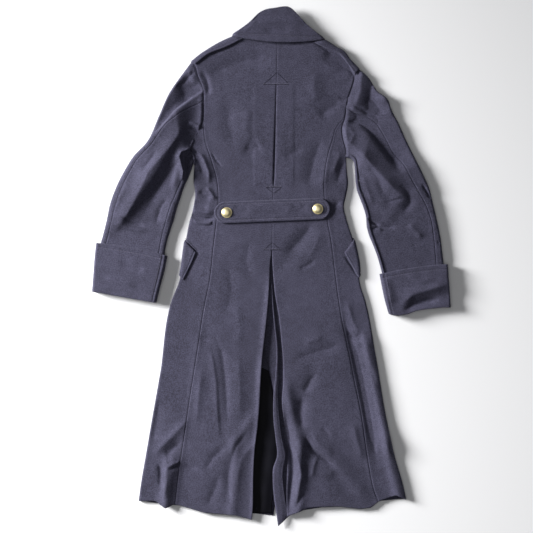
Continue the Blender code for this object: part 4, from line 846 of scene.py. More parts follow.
def front_panel(side):
    """A forepart, from the side seam on the face to the front edge underneath, with the
    chest beside the armhole and the wrap over the shoulder."""
    steps = roll_steps(SIDE_ROLL)
    armpit_y = side.outline[0][1]
    fan = np.clip((side.rows - ARMPIT_BLEND) / (side.top - ARMPIT_BLEND), 0, 1)
    edge_y = np.where(fan > 0, ARMPIT_BLEND + fan * (armpit_y - ARMPIT_BLEND), side.rows)
    start = np.stack([x_at(side.seam, side.rows) + side.sign * SEAM_GAP, side.rows], axis=-1)
    outline = np.stack([x_at(side.outline, edge_y), edge_y], axis=-1)
    run = np.hypot(*(start - outline).T)
    fine = np.array(FINE)
    flat = run - SIDE_ROLL - fine[-1]
    inner = np.concatenate([flat[:, None] + fine[-1] - fine, flat[:, None]
                            * np.linspace(1, 0, 22)[None, 1:-1]], axis=1) + SIDE_ROLL
    distance = np.concatenate([inner, np.broadcast_to(steps, (len(run), len(steps)))], 1)
    part = distance / run[:, None]
    plan = outline[:, None] + (start - outline)[:, None] * part[..., None]
    bend = along(side.armhole, 1 - part[0] * (1 - side.rim_seam)) - plan[0]
    plan = plan + (fan ** 2)[:, None, None] * bend
    top = draped(plan[..., 0], plan[..., 1]) + seam_shape(run[:, None] - distance)
    z = rolled(top, side.low(plan[..., 0], plan[..., 1]), distance, True, SIDE_ROLL)
    upper = np.concatenate([plan, z[..., None]], axis=2)
    upper[..., 1] += hem_drop(HEM, plan[..., 0], plan[..., 1])
    front_x = x_at(side.front, edge_y)
    rim_x = outline[:, :1] - side.sign * steps[::-1]
    across = np.linspace(0, 1, 27)[None, 1:]
    under_x = np.concatenate([rim_x, rim_x[:, -1:] + (front_x[:, None] - rim_x[:, -1:])
                              * across], axis=1)
    under_y = np.broadcast_to(edge_y[:, None], under_x.shape)
    away = np.abs(under_x - outline[:, :1])
    z = rolled(draped(under_x, under_y), side.low(under_x, under_y), away, False, SIDE_ROLL)
    level = hem_drop(UNDER_HEM, under_x, under_y)
    rim_drop = hem_drop(HEM, outline[:, :1], under_y)
    level = rim_drop + (level - rim_drop) * ease(away / 40)
    lower = np.stack([under_x, under_y + level, z], axis=-1)
    grids = [np.concatenate([upper, lower[:, 1:]], axis=1)]
    # the chest, underneath, from the armpit up to below the shoulder seam
    share = np.linspace(0, 1, 60)
    rim = along(side.under_armhole[::-1], share)
    rim[:, 0] -= side.sign * GAP * (share > 0)
    turn = np.array(side.front, float)
    neck = turn[turn[:, 1] > armpit_y]
    neck = np.vstack([neck, (x_at(side.front, armpit_y), armpit_y)])[::-1]
    end = along(neck, share)
    spread = ((under_x[0] - outline[0, 0]) / (front_x[0] - outline[0, 0]))[None, :]
    spread = spread + 0 * share[:, None]
    plan = rim[:, None] + (end - rim)[:, None] * spread[..., None]
    plan = plan + (share ** 3)[:, None, None] * (along(side.shoulder, spread[-1]) - plan[-1])
    away = np.hypot(plan[..., 0] - outline[0, 0], plan[..., 1] - armpit_y)
    z = rolled(face(plan[..., 0], plan[..., 1]), side.low(plan[..., 0], plan[..., 1]),
               away, False, SIDE_ROLL)
    chest = np.concatenate([plan, z[..., None]], axis=2)
    chest[0] = lower[0]
    grids.append(chest[::-1])
    angles = np.linspace(WRAP_START, 180, 18)
    grids.append(shoulder_wrap(side, chest[-1, :, :2], spread[-1], angles))
    return cloth("front_" + side.name, grids, melton, turn=side.sign < 0)


fronts = [front_panel(side) for side in (left, right)]


# %% [markdown]
# ## Sleeves
#
# Each sleeve is two pieces, as a tailor cuts it: a broad top sleeve that wraps round both edges,
# and a narrower under sleeve whose seams show on the face. Both are parts of one flattened
# tube, so a point on either is found from its share of the length and its part of the width.

# %% Sleeve outlines
SLEEVE_LEFT = (        # outer x, y, inner x, y, height, hind seam, forearm seam
    (-191, 492, -182, 262, 12.0, 0.400, 0.920),
    (-216, 458, -184, 254, 19.0, 0.370, 0.920),
    (-242, 420, -187, 246, 22.0, 0.330, 0.920),
    (-269, 362, -193, 228, 22.0, 0.190, 0.920),
    (-296, 301, -202, 206, 21.0, 0.100, 0.920),
    (-329, 266, -211, 185, 20.0, 0.090, 0.920),
    (-353, 228, -218, 163, 19.0, 0.090, 0.910),
    (-372, 190, -226, 139, 18.0, 0.090, 0.900),
    (-386, 151, -233, 113, 17.5, 0.090, 0.895),
    (-394, 113, -242, 86, 17.0, 0.085, 0.900),
    (-403, 76, -251, 54, 17.0, 0.085, 0.910),
    (-410, 50, -256, 24, 17.5, 0.085, 0.915),
    (-415, 10, -263, -12, 17.6, 0.085, 0.920),
    (-422, -52, -278, -78, 17.6, 0.085, 0.920),
)
SLEEVE_RIGHT = (
    (212, 475, 180, 262, 12.0, 0.450, 0.985),
    (233, 456, 190, 260, 18.0, 0.450, 0.985),
    (257, 420, 200, 250, 20.0, 0.370, 0.985),
    (280, 402, 201, 239, 20.0, 0.350, 0.985),
    (288, 380, 202, 228, 20.0, 0.315, 0.985),
    (307, 343, 203, 206, 20.0, 0.285, 0.985),
    (324, 305, 206, 185, 20.0, 0.260, 0.985),
    (343, 266, 214, 163, 20.0, 0.200, 0.985),
    (362, 228, 222, 142, 19.0, 0.190, 0.985),
    (379, 190, 228, 120, 19.0, 0.165, 0.985),
    (389, 151, 230, 96, 18.0, 0.105, 0.985),
    (398, 113, 236, 74, 18.0, 0.085, 0.985),
    (406, 74, 246, 50, 17.0, 0.100, 0.985),
    (410, 41, 256, 22, 17.0, 0.110, 0.985),
    (414, 7, 266, -14, 15.5, 0.120, 0.985),
    (423, -88, 287, -102, 15.5, 0.120, 0.985),
)
SLEEVE_FOLDS = (       # x0, y0, x1, y1, height, wide_left, wide_right
    (-186, 414, -292, 300, 6.0, 26, 11),         # overlapping fold below the left cap
    (-205, 350, -282, 215, 5.0, 10, 24),         # long ridge down the left upper arm
    (-282, 215, -392, 62, 4.5, 10, 26),
    (-223, 255, -229, 205, 4.0, 10, 8),          # underarm curl
    (316, 176, 290, 130, 2.5, 14, 16),           # elbow fold of the right sleeve
    (236, 372, 258, 424, -4.0, 12, 14),          # two dents below the right shoulder
    (196, 352, 290, 356, -2.5, 10, 12),
    (238, 106, 280, 100, -3.5, 8, 12),           # dent at the right elbow
    (226, 250, 262, 160, 3.0, 14, 16),
)
SLEEVE_CREASES = (     # height, wide_left, wide_right, path
    (0.9, 20, 2.4, ((-132, 444), (-163, 419), (-184, 408), (-202, 392), (-228, 371),
        (-257, 338), (-283, 306))),
    (-5.2, 2.6, 24, ((-132, 451), (-168, 422), (-186, 413), (-205, 397), (-232, 376),
        (-260, 343), (-287, 311))),
    (-2.2, 8, 9, ((-228, 444), (-214, 430), (-194, 418), (-178, 422))),  # dark notch across the cap
    (-1.5, 6, 6, ((-180, 473), (-202, 449), (-218, 430))),                     # cap above it
    (1.8, 9, 9, ((-199, 478), (-190, 454), (-175, 434))),
    # long ridge down the arm
    (3.5, 15, 30, ((-194, 350), (-226, 305), (-254, 272), (-293, 226), (-301, 206), (-324, 163),
        (-343, 127), (-377, 91), (-394, 74))),
    (-2.2, 12, 14, ((-180, 324), (-204, 281), (-230, 242), (-266, 199), (-290, 154), (-314, 115))),
    (1.2, 14, 14, ((-228, 170), (-242, 132), (-257, 94))),
    (1.2, 22, 10, ((-158, 408), (-166, 377), (-170, 348), (-180, 314))),           # beside the armhole
    (1.6, 3, 4, ((-199, 348), (-182, 342), (-166, 331))),                 # pucker by the armhole
    (-1.5, 3, 3, ((-197, 336), (-180, 329), (-166, 319))),
    (4.0, 2.6, 9, ((-170, 278), (-187, 280), (-199, 281), (-214, 274), (-218, 264), (-214, 245),
        (-209, 228), (-214, 199))),
    # armpit curl
    (-5.0, 9, 3.5, ((-170, 264), (-190, 269), (-202, 264), (-203, 247), (-199, 228), (-204, 194))),
    (-1.3, 8, 6, ((-271, 281), (-290, 252), (-312, 228))),
    (1.0, 10, 8, ((-334, 214), (-358, 170), (-372, 132))),
    (-1.2, 6, 8, ((-247, 170), (-266, 137), (-276, 98))),
    (-1.4, 4, 5, ((-362, 122), (-331, 108), (-300, 98))),
    (-1.2, 3.4, 3.4, ((-434, 65), (-386, 59), (-334, 52), (-281, 41), (-238, 29))),  # above the cuffs
    (-1.2, 3.4, 3.4, ((247, -12), (300, -6), (334, 3), (374, 9), (434, 13))),
    (1.3, 5, 5, ((-367, 103), (-334, 91), (-295, 84))),
    (-1.2, 5, 5, ((-382, 79), (-353, 70), (-314, 62))),
    # light band along the armhole
    (2.2, 16, 10, ((204, 497), (216, 458), (214, 420), (202, 391), (190, 362))),
    # dent below the right cap
    (-3.6, 12, 13, ((247, 482), (245, 444), (238, 418), (235, 396), (254, 379), (288, 370))),
    (2.4, 9, 9, ((247, 449), (262, 420), (281, 391))),
    (-0.9, 3, 4, ((185, 398), (204, 384), (228, 373), (257, 370), (286, 372))),
    (-0.9, 3, 4, ((166, 396), (194, 374), (214, 362), (235, 358))),
    (0.8, 4, 4, ((178, 394), (204, 377), (228, 365), (257, 360))),
    (-2.4, 5, 9, ((180, 346), (204, 350), (233, 353), (262, 346))),
    (0.6, 5, 6, ((170, 343), (190, 331), (199, 317), (192, 300), (178, 286))),   # right armpit curl
    (6.0, 28, 17, ((113, 358), (161, 317), (185, 299), (204, 282), (226, 259), (250, 233),
        (274, 206), (298, 182), (317, 168), (307, 142))),
    (-5.6, 50, 10, ((190, 377), (221, 348), (257, 307), (290, 264), (314, 218))),
    (-1.8, 9, 9, ((305, 199), (329, 178), (334, 154), (314, 127))),
    (-1.8, 4, 4, ((360, 199), (374, 180), (384, 158))),
    (-3.2, 3, 4, ((223, 118), (240, 110), (262, 96))),                  # nick at the right elbow
    (1.6, 4, 4, ((228, 98), (247, 96), (269, 86))),
    (-1.4, 3, 4, ((235, 89), (259, 96), (300, 94))),
    (1.4, 8, 8, ((326, 103), (346, 86), (365, 67))),
    (1.4, 3, 4, ((262, 41), (276, 26), (295, 12))),                   # small folds above the right cuff
    (-1.6, 3, 3, ((274, 46), (288, 31), (305, 17))),
    (-1.7, 4, 4, ((336, 58), (355, 36), (372, 12))),
    (-1.6, 3, 4, ((396, 60), (384, 36), (374, 12))),
    (1.4, 4, 4, ((360, 58), (370, 41), (374, 26))),
    (-2.4, 3, 3, ((400, 65), (403, 48), (404, 29))),
    (-1.2, 9, 9, ((228, 247), (257, 209), (271, 170))),
    (1.1, 9, 9, ((216, 228), (230, 185), (247, 146))),
)
ARMHOLE_GAP = 0.25
TUCK = 5.0
SLEEVE_RISE = 45.0
CREASE_RISE = 12.0
LOWEST_FACE = 8.0
CUFF_COVERS = 135.0
CUFF_RUN = 30.0        # run over which the sleeve flattens into its cuff
RING_RUN = 60.0        # run over which the armhole's curve becomes a straight ring


def cuffed(run, length):
    """1 inside the cuff and 0 above it, by the distance down the sleeve."""
    return ease((run - length + CUFF_COVERS + CUFF_RUN) / CUFF_RUN)


def pushed_out(rim, side):
    """An armhole curve moved away from the body by its gap, more towards the armpit."""
    way = np.gradient(rim, axis=0)
    way /= np.hypot(*way.T)[:, None]
    normal = np.stack([way[:, 1], -way[:, 0]], axis=1) * -side.sign
    share = np.linspace(0, 1, len(rim))[:, None]
    return rim + normal * ARMHOLE_GAP * (1 + 3 * share ** 3)


class Tube:
    """A flattened sleeve or cuff. Its table gives both outlines from the armhole down."""

    def __init__(self, table, height, low, roll, rims=None):
        self.table = np.array(table, float)
        self.height = height
        self.low = low
        self.roll = roll
        self.rims = rims
        middle = (self.table[:, :2] + self.table[:, 2:4]) / 2
        chord = np.r_[0, np.cumsum(np.hypot(*np.diff(middle, axis=0).T))]
        self.stations = chord / chord[-1]
        self.length = chord[-1]

    def column(self, index, share):
        """A column of the table, read smoothly at a share of the length."""
        return hermite(self.stations, self.table[:, index], share)

    def width(self, share):
        """Distance between both outlines."""
        ends = [self.column(i, share) for i in range(4)]
        return np.hypot(ends[2] - ends[0], ends[3] - ends[1])

    def points(self, share, part, above):
        """Points on the outer face. share runs down the tube and part across it; a sleeve's
        first 60 mm bend from the armhole's curve to a straight ring."""
        share = share + 0 * part
        ends = [self.column(i, share) for i in range(4)]
        x = ends[0] + (ends[2] - ends[0]) * part
        y = ends[1] + (ends[3] - ends[1]) * part
        top = self.column(4, share)
        if self.rims is None:
            top = top + self.height(x, y)
        else:
            first = self.table[0]
            fade = (1 - ease(share * self.length / RING_RUN)) ** 1.5
            bend = np.where(above[..., None], along(self.rims[0], part),
                            along(self.rims[1], part))
            x = x + fade * (bend[..., 0] - (first[0] + (first[2] - first[0]) * part))
            y = y + fade * (bend[..., 1] - (first[1] + (first[3] - first[1]) * part))
            run = share * self.length
            free = 1 - cuffed(run, self.length)
            top = top + folds(SLEEVE_FOLDS, x, y) * free
            start = ease(run * (1 - 0.65 * part) / SLEEVE_RISE)
            top = (face(x, y) * (1 - start) + top * start
                   + self.height(x, y) * free * ease(run / CREASE_RISE))
            top = np.maximum(top, LOWEST_FACE)
        distance = np.minimum(part, 1 - part) * self.width(share)
        z = rolled(top, self.low(share * self.length, self.length), distance, above,
                   self.roll)
        return np.stack([x, y, z], axis=-1)


def sleeve_height(x, y):
    """Creases of both sleeves."""
    return creases(SLEEVE_CREASES, x, y)


print(len(SLEEVE_CREASES), "creases on the sleeves")

# %% The sleeves
def sleeve(table, side):
    """The under sleeve, then the top sleeve. Their edges sink into a seam, and the ring that
    meets the body sinks into the armhole's seam."""
    share = np.linspace(0, 1, 211)[:, None] ** 1.12
    rims = [pushed_out(along(rim, np.linspace(0, 1, 60)), side)
            for rim in (side.armhole, side.under_armhole)]
    tube = Tube(table, sleeve_height, lambda run, length: (CUFF_PLY + GAP) * cuffed(run, length),
                SLEEVE_ROLL, rims)
    width = tube.width(share)
    hind, fore = tube.column(5, share), tube.column(6, share)
    gap = SEAM_GAP / width
    reach = ((fore - hind - 2 * gap) * width)[:, 0]
    distance = spaced(reach, FINE, 56)
    part = hind + gap + distance / width
    under = tube.points(share, part, np.ones(part.shape, bool))
    edge = np.minimum(distance, reach[:, None] - distance)
    under[..., 2] += seam_shape(edge) + armhole_shape(share * tube.length)
    under = tucked(under, np.ones(part.shape[1], bool))
    pieces = [cloth("under_sleeve_" + side.name, [under], melton, turn=side.sign > 0)]

    steps = roll_steps(SLEEVE_ROLL, 10)[None, :] / width
    fine = np.array(FINE)[None, :] / width
    first = hind - gap
    fine = fine * np.minimum(1, 0.8 * (first - steps[:, :1]) / fine[:, -1:])
    flat = first - fine[:, -1:]
    face_part = np.concatenate([first - fine, flat + (steps[:, :1] - flat)
                                * np.linspace(0, 1, 30)[None, 1:-1]], axis=1)
    beneath = steps[:, :1] + (1 - 2 * steps[:, :1]) * np.linspace(0, 1, 30)[None, 1:-1]
    last = fore + gap
    back_up = np.concatenate([1 - steps[:, ::-1][:, 1:-1], last + fine[:, ::-1]
                              * ((1 - steps[:, :1] - last) / fine[:, -1:])], axis=1)
    part = np.concatenate([face_part, steps, steps[:, ::-1][:, 1:], beneath, 1 - steps,
                           back_up], axis=1)
    above = np.ones(part.shape, bool)
    above[:, face_part.shape[1] + steps.shape[1]:-back_up.shape[1]] = False
    top = tube.points(share, part, above)
    from_hind = np.where(above & (part < 0.5), (first - part) * width, 99.0)
    from_fore = np.where(above & (part > 0.5), (part - last) * width, 99.0)
    edge = np.minimum(from_hind, from_fore)
    top[..., 2] += (seam_shape(edge) * (edge < 30)
                    + armhole_shape(share * tube.length) * above)
    top = tucked(top, above[0])
    pieces.append(cloth("top_sleeve_" + side.name, [top], melton, turn=side.sign < 0))
    return pieces


def tucked(points, above):
    """One more row before the first: the seam allowance, 5 mm back under the body's edge and
    2.8 mm inwards from the sleeve's face."""
    back = points[:1] - points[2:3]
    back[..., 2] = 0
    back *= TUCK / np.linalg.norm(back, axis=2, keepdims=True)
    back[..., 2] = np.where(above, -LAY, LAY)
    return np.concatenate([points[:1] + back, points])


def armhole_shape(run):
    """-1.6 bell(r, 2.2) + 0.9 bell(r - 7, 4): a valley at the armhole's seam and a soft rise
    7 mm from it, where the turned edges are pressed towards the sleeve."""
    return -1.6 * bell(run, 2.2) + 0.9 * bell(run - 7, 4)


sleeves = [sleeve(SLEEVE_LEFT, left), sleeve(SLEEVE_RIGHT, right)]

# %% [markdown]
# ## Cuffs
#
# The cuff is a deep band of double cloth, turned back over the sleeve's end. It is wider and
# higher than the sleeve inside it.

# %% The cuffs
CUFF_LEFT = (          # outer x, y, inner x, y, height
    (-419, 58, -248, 27, 23.0),
    (-423, 20, -256, -12, 23.5),
    (-426, -22, -266, -50, 23.5),
    (-429, -59, -275, -86, 23.0),
)
CUFF_RIGHT = (
    (424, 7, 260, -17, 23.5),
    (426, -28, 266, -48, 24.0),
    (429, -64, 273, -80, 23.5),
    (431, -97, 282, -112, 22.5),
)
CUFF_ARCH = 4.0
CUFF_MOUTH = (         # part of the width from the outer edge, drop of the right cuff's mouth
    (0.0, 0.0), (0.12, 2.0), (0.40, 2.0), (0.56, 0.5), (0.70, -5.5), (0.86, -7.0),
    (0.96, -3.5), (1.0, 0.0),
)
CUFF_FOLDS = (
    (318, -84, 420, -72, -3.0, 14, 12),          # dent at the right cuff's mouth
)
CUFF_CREASES = (
    # bulge above the dent
    (2.9, 16, 11, ((295, -91), (314, -84), (338, -67), (377, -55), (410, -46), (434, -38))),
    (-2.4, 6, 8, ((310, -101), (338, -91), (372, -82), (406, -77))),
    (1.1, 9, 12, ((271, -22), (283, -55), (290, -89))),
    (-0.8, 8, 8, ((259, -36), (266, -70), (271, -98))),
    (1.0, 8, 8, ((319, -22), (358, -36), (396, -26))),
    (-0.9, 7, 7, ((-367, 12), (-334, -2), (-300, -7))),
    (0.9, 7, 7, ((-401, -22), (-362, -36), (-319, -46))),
)
CUFF_ROLL = 6.0
CUFF_EDGE = 11.0       # from the cuff's edges to its row of stitches
CUFF_SEAM_PART = 0.935
CUFF_GROOVES = (0.9, 1.1, 1.5)       # depth at the row, depth at the seam, width of both


def cuff_tube(table):
    """The flattened tube of a cuff, which lies on the floor."""
    return Tube(table, lambda x, y: folds(CUFF_FOLDS, x, y) + creases(CUFF_CREASES, x, y),
                lambda run, length: 0.0 * run, CUFF_ROLL)


def cuff_points(tube, side, share, part, above):
    """Points of a cuff, with its arched top edge and its own mouth."""
    points = tube.points(share, part, above)
    share = share + 0 * part
    drop = np.interp(part, *np.array(CUFF_MOUTH).T) * (side.sign > 0)
    points[..., 1] += (drop * share ** 2
                       + CUFF_ARCH * 4 * part * (1 - part) * (1 - share) ** 2)
    along_edge = np.abs(share * tube.length - CUFF_EDGE)
    seam = np.abs(part - CUFF_SEAM_PART) * tube.width(share)
    at_row, at_seam, wide = CUFF_GROOVES
    sunk = at_row * bell(along_edge, wide) + above * at_seam * bell(seam, wide)
    end = np.minimum(share, 1 - share) * tube.length
    points[..., 2] -= np.where(above, sunk + 1.5 * (1 - rounding(end, 3.0)), 0)
    return points


def cuff(table, side):
    """A ring of double cloth round the sleeve's end."""
    tube = cuff_tube(table)
    fine = np.r_[0, 0.6, 1.3, 2.2, 3.4, 5.0, 7.0, 8.5, 9.8, 11.0, 12.2, 13.5]
    inner = np.linspace(15.5, tube.length - 5, 34)
    share = (np.r_[fine, inner, tube.length - fine[4::-1]] / tube.length)[:, None]
    steps = roll_steps(tube.roll, 10)[None, :] / tube.width(share)
    middle = steps[:, :1] + (1 - 2 * steps[:, :1]) * np.linspace(0, 1, 62)[None, 1:-1]
    half = np.concatenate([steps[:, ::-1], middle, 1 - steps], axis=1)
    part = np.concatenate([half, half[:, ::-1][:, 1:]], axis=1)
    above = np.ones(part.shape, bool)
    above[:, half.shape[1]:] = False
    points = cuff_points(tube, side, share, part, above)
    return cloth("cuff_" + side.name, [points], melton, thick=CUFF_PLY, turn=side.sign > 0)


cuffs = [cuff(CUFF_LEFT, left), cuff(CUFF_RIGHT, right)]

# %% [markdown]
# ## Collar
#
# The collar stands round the neck, and its leaf turns down over it. On the flattened coat both
# are rings, one inside the other, and only the leaf shows. At the fold the leaf rolls inwards.

# %% The collar
COLLAR = (             # left x, y, right x, y, arch above, arch beneath, height
    (-94, 553, 130, 545, -12, -2, 19.5),
    (-90, 560, 125, 551, 4, 6, 21.0),
    (-74, 570, 108, 563, 22, 16, 22.0),
    (-54, 581, 90, 575, 41, 26, 21.5),
)
ARCH = (               # part of the way round, share of the arch
    (0.0, 0.0), (0.08, 0.34), (0.17, 0.64), (0.28, 0.84), (0.45, 0.97), (0.58, 1.06),
    (0.66, 1.06), (0.73, 0.95), (0.81, 0.69), (0.90, 0.36), (1.0, 0.0),
)
COLLAR_ROLL = 9.0
INSET_SLOPE = 2.3
STAND_FROM = 0.34
LEAF_DEPTH = 42.0      # nominal: the leaf is about 82 mm deep in the middle, 28 mm at its ends
LEAF_EDGE = 10.5       # where the row of stitches lies, out of LEAF_DEPTH
LEAF_GROOVE = (1.7, 2.0)             # depth and width
COLLAR_CREASES = (
    (0.8, 12, 14, ((-60, 564), (-22, 583), (26, 593), (65, 583), (89, 564))),
    (-0.5, 9, 9, ((-22, 562), (12, 566), (50, 566))),
    (0.6, 6, 6, ((-70, 559), (-50, 574), (-31, 593))),
)


def collar_points(share, part, above, inset):
    """Rows run from the leaf's edge (share 0) to the fold (share 1), columns round the
    flattened ring. A ring that lies inside another one has an inset."""
    table = np.array(COLLAR, float)
    stations = np.linspace(0, 1, len(table))
    column = [hermite(stations, table[:, i], share) for i in range(table.shape[1])]
    bow = 4 * part * (1 - part)
    shape = np.array(ARCH)
    bow = bow + (hermite(shape[:, 0], shape[:, 1], part) - bow) * share ** 2
    arch = np.where(above, column[4], column[5]) * bow
    width = column[2] - column[0] - 2 * INSET_SLOPE * inset
    x = column[0] + INSET_SLOPE * inset + width * part
    y = column[1] + (column[3] - column[1]) * part + arch
    top = column[6] - inset + 1.5 * np.sin(np.pi * part) + creases(COLLAR_CREASES, x, y)
    distance = np.minimum(part, 1 - part) * width
    z = rolled(top, inset, distance, above, COLLAR_ROLL - inset)
    return np.stack([x, y, z], axis=-1)


def collar_ring(name, shares, inset):
    """The leaf or the stand: a flattened ring, open at the centre front underneath."""
    share = shares[:, None]
    steps = roll_steps(COLLAR_ROLL, 8) / 200
    face_part = np.unique(np.round(np.r_[steps, np.linspace(steps[0], 1 - steps[0], 90),
                                         1 - steps], 4))
    under = np.unique(np.round(np.r_[steps, np.linspace(0.06, 0.497, 20)], 4))[::-1]
    part = np.concatenate([under[:-1], face_part, 1 - under[::-1][1:]])[None, :]
    above = np.ones(part.shape, bool)
    above[:, :len(under) - 1] = False
    above[:, -(len(under) - 1):] = False
    above = np.broadcast_to(above, (len(shares), part.shape[1]))
    points = collar_points(share, part + 0 * share, above, inset)
    if inset == 0:
        end = share * LEAF_DEPTH
        depth, wide = LEAF_GROOVE
        sunk = 1.6 * (1 - rounding(end, 2.5)) + depth * bell(end - LEAF_EDGE, wide)
        points[..., 2] -= np.where(above, sunk, -sunk)
        inner = collar_points(share[-1:], part, above[-1:], LAY + 0.6)
        outer = points[-1:]
        up = points[-1:] - points[-3:-2]
        up[..., 2] = 0
        up /= np.linalg.norm(up, axis=2, keepdims=True)
        turn = np.linspace(0, math.pi, 10)[1:, None, None]
        middle, half = (outer + inner) / 2, (outer - inner) / 2
        reach = np.linalg.norm(half, axis=2, keepdims=True)
        points = np.concatenate([points, middle + half * np.cos(turn)
                                 + up * reach * np.sin(turn)])
    return cloth(name, [points], melton, turn=True)


leaf_rows = np.r_[0, 0.012, 0.03, 0.055, 0.09, 0.13, np.linspace(0.17, 0.34, 7),
                  np.linspace(0.38, 1, 24)]
collar_fall = collar_ring("collar_fall", leaf_rows, 0.0)
collar_stand = collar_ring("collar_stand", np.linspace(STAND_FROM, 0.97, 14), LAY)


# %% [markdown]
# ## Shoulder straps, half belt and other pieces laid on top
#
# These are pressed double cloth, about 4 mm thick. Each follows the surface that carries it, a little
# above it, and its outer edge is turned over, so it is round.

# %% Shoulder straps
STRAP_FROM = 0.0
STRAP_TO = (0.98, 0.90)        # on the seam and on the outline: cut along the collar
STRAP_OVER = 4.0
STRAP_SINKS = 3.0      # the collar presses the strap's upper end down
STRAP_UNDER = 14.0
STRAP_STITCH = 5.5     # from the strap's edge to the groove of its row of stitches


def shoulder_strap(side):
    """A strap over the shoulder from the armhole to the collar. Its rows go from the face,
    round the shoulder, to the underside."""
    seam_spread, edge_spread = (np.linspace(STRAP_FROM, end, 60) for end in STRAP_TO)
    seam = along(side.shoulder, seam_spread)
    rows = shoulder_wrap(side, seam, edge_spread, np.linspace(0, 180, 28))
    inward = seam - along(side.shoulder_edge, edge_spread)
    inward /= np.hypot(*inward.T)[:, None]
    above, beneath = [], []
    for share in (1, 0.8, 0.55, 0.28):
        row = rows[0].copy()
        row[:, :2] += inward * STRAP_OVER * share
        row[:, 2] = face(row[:, 0], row[:, 1])
        above.append(row)
        row = rows[-1].copy()
        row[:, :2] += inward * STRAP_UNDER * share
        beneath.insert(0, row)
    rows = np.concatenate([above, rows, beneath])
    if side.sign < 0:
        rows = rows[:, ::-1]
    step = np.linalg.norm(np.diff(rows, axis=0), axis=2)
    run = np.concatenate([np.zeros((1, rows.shape[1])), np.cumsum(step, axis=0)])
    out = STRAP_CLEAR + TWO_PLY - 1.6 * (1 - rounding(run, 2.5))
    across = np.linalg.norm(rows[:, :1] - rows, axis=2)
    out = out - 1.2 * (1 - rounding(np.minimum(across, across[:, -1:] - across), 2.0))
    stitch = 0.5 * bell(run - STRAP_STITCH, 1.2)
    tucked_end = np.linalg.norm(rows[:, :1] - rows if side.sign < 0 else rows[:, -1:] - rows,
                                axis=2)
    out = out - STRAP_SINKS * ease(1 - tucked_end / 16)
    return cloth("shoulder_strap_" + side.name, [shifted(rows, out - stitch)], melton,
                 thick=TWO_PLY - 0.4)


straps = [shoulder_strap(side) for side in (left, right)]

# %% Half belt
BELT_LENGTH = 278.0
BELT_WIDTH = 52.0
BELT_MIDDLE = (3.0, 134.5)
BELT_TILT = math.radians(2.3)
BELT_STITCH = 7.0      # from the belt's edge to its row of stitches
BELT_BUTTON_INSET = 30.0
BELT_RISE = 6.0        # the belt bows a little above the back
BELT_GROOVE = (0.9, 1.5)       # depth and width
BELT_DENT = (1.6, 9.0, 5.5)    # depth round a button, radius of its floor, width of its slope
BELT_CREASES = (
    (0.7, 12, 12, ((-74, 134), (-22, 144), (36, 134), (79, 144))),
    (-0.6, 8, 8, ((-91, 144), (-70, 134), (-50, 139))),
    (-0.6, 8, 8, ((46, 149), (70, 139), (89, 146))),
)
BUTTON_RADIUS = 12.7


def belt_place(run, across):
    """Plan position on the belt: run from its left end, across from its middle line."""
    u = run - BELT_LENGTH / 2
    x = BELT_MIDDLE[0] + u * math.cos(BELT_TILT) + across * math.sin(BELT_TILT)
    y = BELT_MIDDLE[1] + u * math.sin(BELT_TILT) - across * math.cos(BELT_TILT)
    return x, y


def belt_half(run):
    """Half the belt's width at a distance from its left end: full along the middle and a
    half circle at both ends."""
    radius = BELT_WIDTH / 2
    from_end = np.minimum(np.minimum(run, BELT_LENGTH - run), radius)
    return np.sqrt(np.maximum(radius ** 2 - (radius - from_end) ** 2, 0))


def belt_height(x, y, run, across):
    """The belt's face: over the back, 6 mm up, round at its edge, sunk along its stitches
    and pulled in round both buttons."""
    radius = BELT_WIDTH / 2
    core = np.clip(run, radius, BELT_LENGTH - radius)
    edge = radius - np.hypot(run - core, across)
    z = face(x, y) + BELT_RISE - 2.6 * (1 - rounding(edge, 2.6))
    z = z - BELT_GROOVE[0] * bell(edge - BELT_STITCH, BELT_GROOVE[1])
    depth, flat, slope = BELT_DENT
    for at in (BELT_BUTTON_INSET, BELT_LENGTH - BELT_BUTTON_INSET):
        away = np.hypot(run - at, across)
        z = z - depth * bell(np.maximum(away - flat, 0), slope)
    return z + creases(BELT_CREASES, x, y)


def half_belt():
    """Columns crowd at the round ends, by the cosine of an angle."""
    radius = BELT_WIDTH / 2
    ends = radius * (1 - np.cos(np.linspace(0.06, math.pi / 2, 20)))
    inner = np.linspace(radius, BELT_LENGTH - radius, 100)[1:-1]
    run = np.r_[ends, inner, BELT_LENGTH - ends[::-1]]
    fine = np.r_[0, 0.015, 0.04, 0.075, 0.115, np.linspace(0.15, 0.35, 8)]
    share = np.r_[fine, np.linspace(0.37, 0.63, 10), 1 - fine[::-1]] * 2 - 1
    across = share[:, None] * belt_half(run)
    run = run[None, :] + 0 * across
    x, y = belt_place(run, across)
    z = belt_height(x, y, run, across)
    return cloth("half_belt", [np.stack([x, y, z], axis=-1)], melton, thick=TWO_PLY - 0.5)


belt = half_belt()

# %% [markdown]
# ## Buttons
#
# The half belt is held by two gilt buttons. Each is stamped from sheet brass: a low dome inside
# a rolled rim. The face is plain. The rings of points below are turned round the button's axis.

# %% Domed buttons
BUTTON_PROFILE = (     # share of the radius, height
    (0.80, 0.0), (0.94, 0.2), (0.99, 0.7), (1.00, 1.2), (0.985, 1.8), (0.955, 2.2),
    (0.92, 2.25), (0.885, 2.0), (0.86, 1.9), (0.84, 2.2), (0.80, 2.9), (0.72, 3.9),
    (0.62, 4.8), (0.50, 5.55), (0.36, 6.1), (0.20, 6.4), (0.06, 6.5),
)
BUTTON_SIDES = 72


